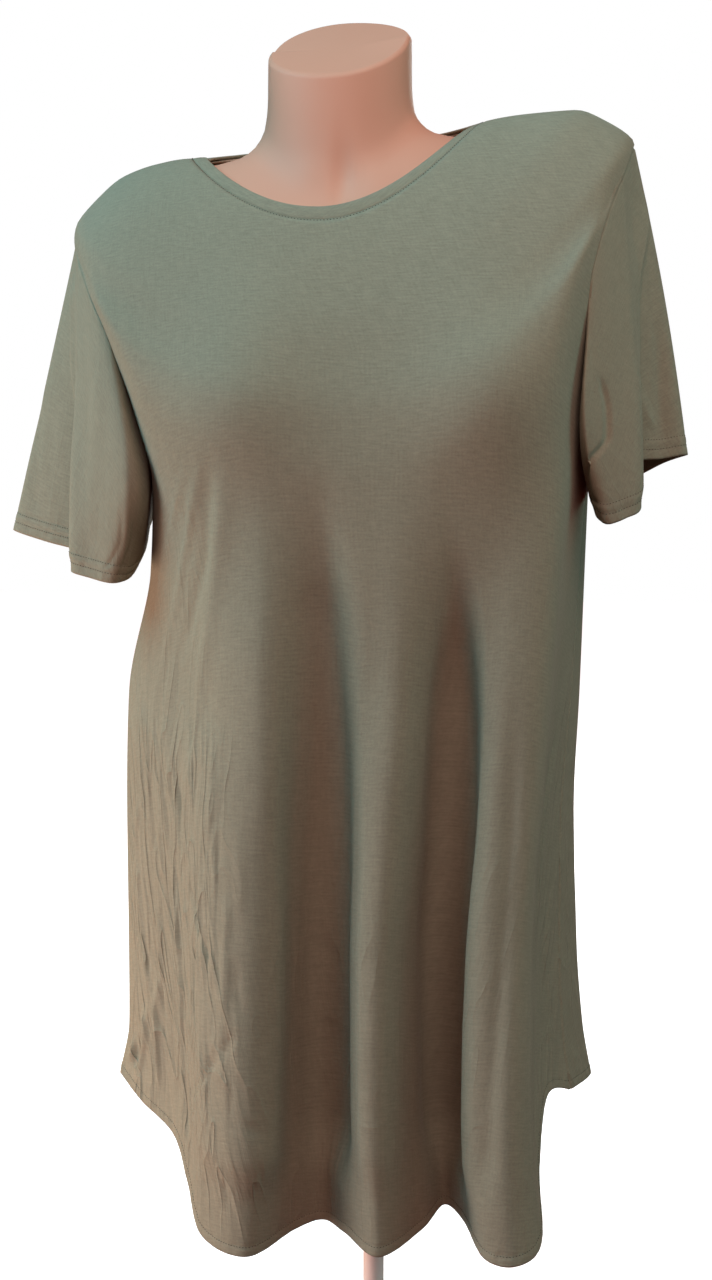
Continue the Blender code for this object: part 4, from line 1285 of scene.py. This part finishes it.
class ShirtSettings(bpy.types.PropertyGroup):
    """Sizes and colours of the shirt."""

    khaki: colour_setting("Khaki", "The jersey's colour", (0.205, 0.212, 0.155))
    fold_height: share_setting("Fold height", "How strongly the folds stand out", 1.0, 2.0)
    seam_width: length_setting("Seam width", "How wide the dip along a seam is", 0.0016)
    seam_depth: length_setting("Seam depth", "How far a seam sinks into the cloth", 0.0021)
    seam_tuck: length_setting("Seam tuck", "How far a sleeve reaches under the armhole's edge", 0.0020)
    hem_stitch: length_setting("Hem stitches", "How far above the hem its stitches run", 0.007)
    cuff_stitch_low: length_setting(
        "Lower cuff stitches", "Distance of a cuff's lower row from its edge", 0.0073)
    cuff_stitch_high: length_setting(
        "Upper cuff stitches", "Distance of a cuff's upper row from its edge", 0.0144)
    neck_stitch: length_setting("Neck stitches", "How far below the neckband its stitches run", 0.0008)
    stitch_length: length_setting("Stitch length", "Length of one visible stitch", 0.0011)
    stitch_pitch: length_setting("Stitch pitch", "Distance from one stitch to the next", 0.0023)
    thread_width: length_setting("Thread width", "Width of the sewing thread", 0.00055)
    # Painted shade: the thread is the jersey's khaki darkened to about a fifth, so that each row of stitches
    # reads as the dark shaded line along its dent
    thread: colour_setting("Thread", "The thread's colour", (0.045, 0.047, 0.034))
    tape: colour_setting("Tape", "The neck tape's colour", (0.50, 0.46, 0.38))
    hem_rise: length_setting("Hem thickness", "How much the turned-up hem stands out", 0.0003)
    hem_pucker: length_setting("Hem pucker", "Height of the small ripples along a sewn hem", 0.00025)
    crumple_depth: length_setting("Crumple", "Depth of the finest wrinkles", 0.0038)
    stitch_dent: length_setting("Stitch dent", "How far a row of stitches draws the cloth in", 0.00035)
    sheen: share_setting("Sheen", "Soft bloom of the jersey", 0.12)
    knit_bump: share_setting("Knit relief", "Strength of the knit's relief", 0.35)
    wale_width: length_setting("Wale width", "Width of one column of loops", 0.0009)
    course_height: length_setting("Course height", "Height of one row of loops", 0.0007)


class FormSettings(bpy.types.PropertyGroup):
    """The dress form's plastic."""

    plastic: colour_setting("Plastic", "The form's colour", (0.545, 0.300, 0.215))
    roughness: share_setting("Roughness", "How dull the plastic is", 0.55)
    grain: share_setting("Grain", "Strength of the moulding's fine grain", 0.08)


class StandSettings(bpy.types.PropertyGroup):
    """Sizes and colour of the stand."""

    base_radius: length_setting("Base radius", "Half the width of the base plate", 0.150)
    base_thickness: length_setting("Base thickness", "Thickness of the base plate", 0.005)
    pole_radius: length_setting("Pole radius", "Half the width of the pole", 0.0085)
    steel: colour_setting("Steel", "The stand's powder coat", (0.80, 0.80, 0.78))


class StageSettings(bpy.types.PropertyGroup):
    """The studio's lights."""

    window_power: power_setting("Window light", "Power of the cool light from the upper left", 33.0)
    room_power: power_setting("Room light", "Power of the warm light from the far left", 2.2)
    low_power: power_setting("Low light", "Power of the warm light low on the left", 9.0)
    front_power: power_setting("Front light", "Power of the warm light from the upper front", 27.0)
    right_power: power_setting("Right light", "Power of the cool light from the upper right", 7.0)
    side_power: power_setting("Side light", "Power of the cool light at the right", 6.0)
    back_power: power_setting("Back light", "Power of the plain light behind the form", 28.0)
    ambient: share_setting("Ambient", "Strength of the dim warm light all round", 0.135)


class TSHIRT_OT_panels(bpy.types.Operator):
    """Make the front and back of the shirt."""

    bl_idname = "tshirt.panels"
    bl_label = "Front and Back"

    def execute(self, context):
        """Both panels in one jersey."""
        settings = context.scene.tshirt
        finish = jersey("jersey", settings)
        front_folds = FRONT_FOLDS + wrinkles(FRONT_PATCHES)
        back_folds = BACK_FOLDS + wrinkles(BACK_PATCHES)
        front = panel_surface(-1, FRONT_COLUMNS, front_folds, FRONT_ZONES, settings)
        make_draped("front", front, finish)
        back = panel_surface(1, BACK_COLUMNS, back_folds, BACK_ZONES, settings)
        make_draped("back", back, finish)
        return {"FINISHED"}


class TSHIRT_OT_sleeves(bpy.types.Operator):
    """Make both short sleeves."""

    bl_idname = "tshirt.sleeves"
    bl_label = "Sleeves"

    def execute(self, context):
        """Both sleeves in the panels' jersey."""
        settings = context.scene.tshirt
        finish = bpy.data.materials["jersey"]
        left = sleeve_surface(-1, LEFT_CUFF, LEFT_FILL, LEFT_SLEEVE_FOLDS, settings)
        make_draped("sleeve_left", left, finish)
        right = sleeve_surface(1, RIGHT_CUFF, RIGHT_FILL, RIGHT_SLEEVE_FOLDS, settings)
        make_draped("sleeve_right", right, finish)
        return {"FINISHED"}


class TSHIRT_OT_stitches(bpy.types.Operator):
    """Sew the rows of stitches along the neckband, the hem and both cuffs."""

    bl_idname = "tshirt.stitches"
    bl_label = "Stitches"

    def execute(self, context):
        """Each row as one piece, from a single bead of thread."""
        settings = context.scene.tshirt
        # The stitches are real thread, but its colour is the khaki darkened as painted shade along the rows
        finish = thread("sewing_thread", settings.thread)
        bead = bead_of_thread()
        for name in ("front", "back"):
            cloth = SURFACES[name]
            neck = cloth.line_at(settings.neck_stitch, from_hem=False)
            hem = cloth.line_at(settings.hem_stitch)
            stitch_row(name + "_neck_stitches", neck, False, bead, settings, finish)
            stitch_row(name + "_hem_stitches", hem, False, bead, settings, finish)
        for name in ("sleeve_left", "sleeve_right"):
            for row, distance in (("lower", settings.cuff_stitch_low), ("upper", settings.cuff_stitch_high)):
                line = SURFACES[name].line_at(distance)
                stitch_row(f"{name}_{row}_stitches", line, True, bead, settings, finish)
        return {"FINISHED"}


class TSHIRT_OT_neckband(bpy.types.Operator):
    """Make the doubled band round the neckline, its tape and the hanger loop."""

    bl_idname = "tshirt.neckband"
    bl_label = "Neckband"

    def execute(self, context):
        """The band and the loop in one jersey, the tape in twill."""
        settings = context.scene.tshirt
        band = jersey("band_jersey", settings)
        make_neckband(band)
        tape, length, width = make_tape(twill("tape_twill", settings.tape))
        loop = make_loop(band)
        length * width
        return {"FINISHED"}


class TSHIRT_OT_stand(bpy.types.Operator):
    """Make the stand: base plate, pole and flange."""

    bl_idname = "tshirt.stand"
    bl_label = "Stand"

    def execute(self, context):
        """All of the stand in one powder coat."""
        stand = context.scene.tshirt_stand
        make_stand(stand, powder_coat("powder_coat", stand.steel))
        return {"FINISHED"}


class TSHIRT_OT_form(bpy.types.Operator):
    """Make the dress form."""

    bl_idname = "tshirt.form"
    bl_label = "Dress Form"

    def execute(self, context):
        """The form in one moulded plastic."""
        make_form(moulded_plastic("moulded_plastic", context.scene.tshirt_form))
        return {"FINISHED"}


class TSHIRT_OT_stage(bpy.types.Operator):
    """Set up the floor, the lights and the camera."""

    bl_idname = "tshirt.stage"
    bl_label = "Studio"

    def execute(self, context):
        """A white studio that does not count as a part of the shirt."""
        scene = context.scene
        stage = scene.tshirt_stage
        scene.view_settings.view_transform = "Standard"
        make_world(scene, stage.ambient)
        make_floor(context)
        for lamp in LAMPS:
            make_light(lamp, getattr(stage, lamp.name + "_power"))
        make_camera(scene)
        return {"FINISHED"}


def make_world(scene, ambient):
    """White to look at, and a dim warm light on what stands in it."""
    world = bpy.data.worlds.new("studio")
    world.use_nodes = True
    nodes, links = world.node_tree.nodes, world.node_tree.links
    nodes.clear()
    output = nodes.new("ShaderNodeOutputWorld")
    mix = nodes.new("ShaderNodeMixShader")
    path = nodes.new("ShaderNodeLightPath")
    dim = nodes.new("ShaderNodeBackground")
    dim.inputs["Color"].default_value = AMBIENT_COLOUR
    dim.inputs["Strength"].default_value = ambient
    pale = nodes.new("ShaderNodeBackground")
    pale.inputs["Color"].default_value = WHITE
    links.new(path.outputs["Is Camera Ray"], mix.inputs[0])
    links.new(dim.outputs[0], mix.inputs[1])
    links.new(pale.outputs[0], mix.inputs[2])
    links.new(mix.outputs[0], output.inputs[0])
    scene.world = world


def make_floor(context):
    """A pale floor that throws no light back."""
    bpy.ops.object.select_all(action="DESELECT")
    bpy.ops.mesh.primitive_plane_add(size=FLOOR_SIZE, location=(0.0, 0.0, FLOOR_Z))
    floor = context.object
    floor.name = "studio_floor"
    finish = Finish("studio_floor", {
        "Base Color": FLOOR_COLOUR, "Roughness": 0.9, "Emission Color": WHITE, "Emission Strength": 1.0,
    })
    floor.data.materials.append(finish.material)
    floor.visible_diffuse = False
    floor.visible_glossy = False


def make_light(lamp, power):
    """A soft square light that faces the lit point."""
    turn, rise = math.radians(lamp.azimuth), math.radians(lamp.height)
    away = Vector((math.sin(turn) * math.cos(rise), -math.cos(turn) * math.cos(rise), math.sin(rise)))
    light = bpy.data.lights.new(lamp.name + "_light", "AREA")
    light.size = lamp.size
    light.energy = power
    light.color = lamp.colour
    placed = bpy.data.objects.new(lamp.name + "_light", light)
    placed.location = LIT_POINT + away * lamp.distance
    placed.rotation_euler = (-away).to_track_quat("-Z", "Y").to_euler()
    bpy.context.scene.collection.objects.link(placed)


def make_camera(scene):
    """The camera at the shirt's front, a little to its right and looking slightly down."""
    lens = bpy.data.cameras.new("camera")
    lens.sensor_fit = "VERTICAL"
    lens.sensor_height = 36.0
    lens.lens = CAMERA_LENS
    camera = bpy.data.objects.new("camera", lens)
    camera.location = CAMERA_PLACE
    camera.rotation_euler = (math.radians(90.0 - CAMERA_PITCH), 0.0, math.radians(CAMERA_AZIMUTH))
    scene.collection.objects.link(camera)
    scene.camera = camera


class TSHIRT_PT_sidebar(bpy.types.Panel):
    """The steps and their settings."""

    bl_idname = "TSHIRT_PT_sidebar"
    bl_label = "T-Shirt"
    bl_space_type = "VIEW_3D"
    bl_region_type = "UI"
    bl_category = "T-Shirt"

    def draw(self, context):
        """A button for each step, then every setting."""
        for step in STEPS:
            self.layout.operator(step.bl_idname)
        for name in GROUPS:
            group = getattr(context.scene, name)
            for setting in group.__annotations__:
                self.layout.prop(group, setting)


GROUPS = {
    "tshirt": ShirtSettings, "tshirt_form": FormSettings, "tshirt_stand": StandSettings,
    "tshirt_stage": StageSettings,
}
STEPS = (
    TSHIRT_OT_stand, TSHIRT_OT_form, TSHIRT_OT_panels, TSHIRT_OT_sleeves, TSHIRT_OT_neckband,
    TSHIRT_OT_stitches, TSHIRT_OT_stage,
)
CLASSES = (*GROUPS.values(), *STEPS, TSHIRT_PT_sidebar)


def register():
    """Make the settings, the steps and the panel known to Blender."""
    for kind in CLASSES:
        bpy.utils.register_class(kind)
    for name, group in GROUPS.items():
        setattr(bpy.types.Scene, name, bpy.props.PointerProperty(type=group))


def unregister():
    """Take them all away again."""
    for name in GROUPS:
        delattr(bpy.types.Scene, name)
    for kind in reversed(CLASSES):
        bpy.utils.unregister_class(kind)


def main():
    """Run every step in order."""
    register()
    bpy.ops.tshirt.stand()
    bpy.ops.tshirt.form()
    bpy.ops.tshirt.panels()
    bpy.ops.tshirt.sleeves()
    bpy.ops.tshirt.neckband()
    bpy.ops.tshirt.stitches()
    bpy.ops.tshirt.stage()


if __name__ == "__main__":
    main()
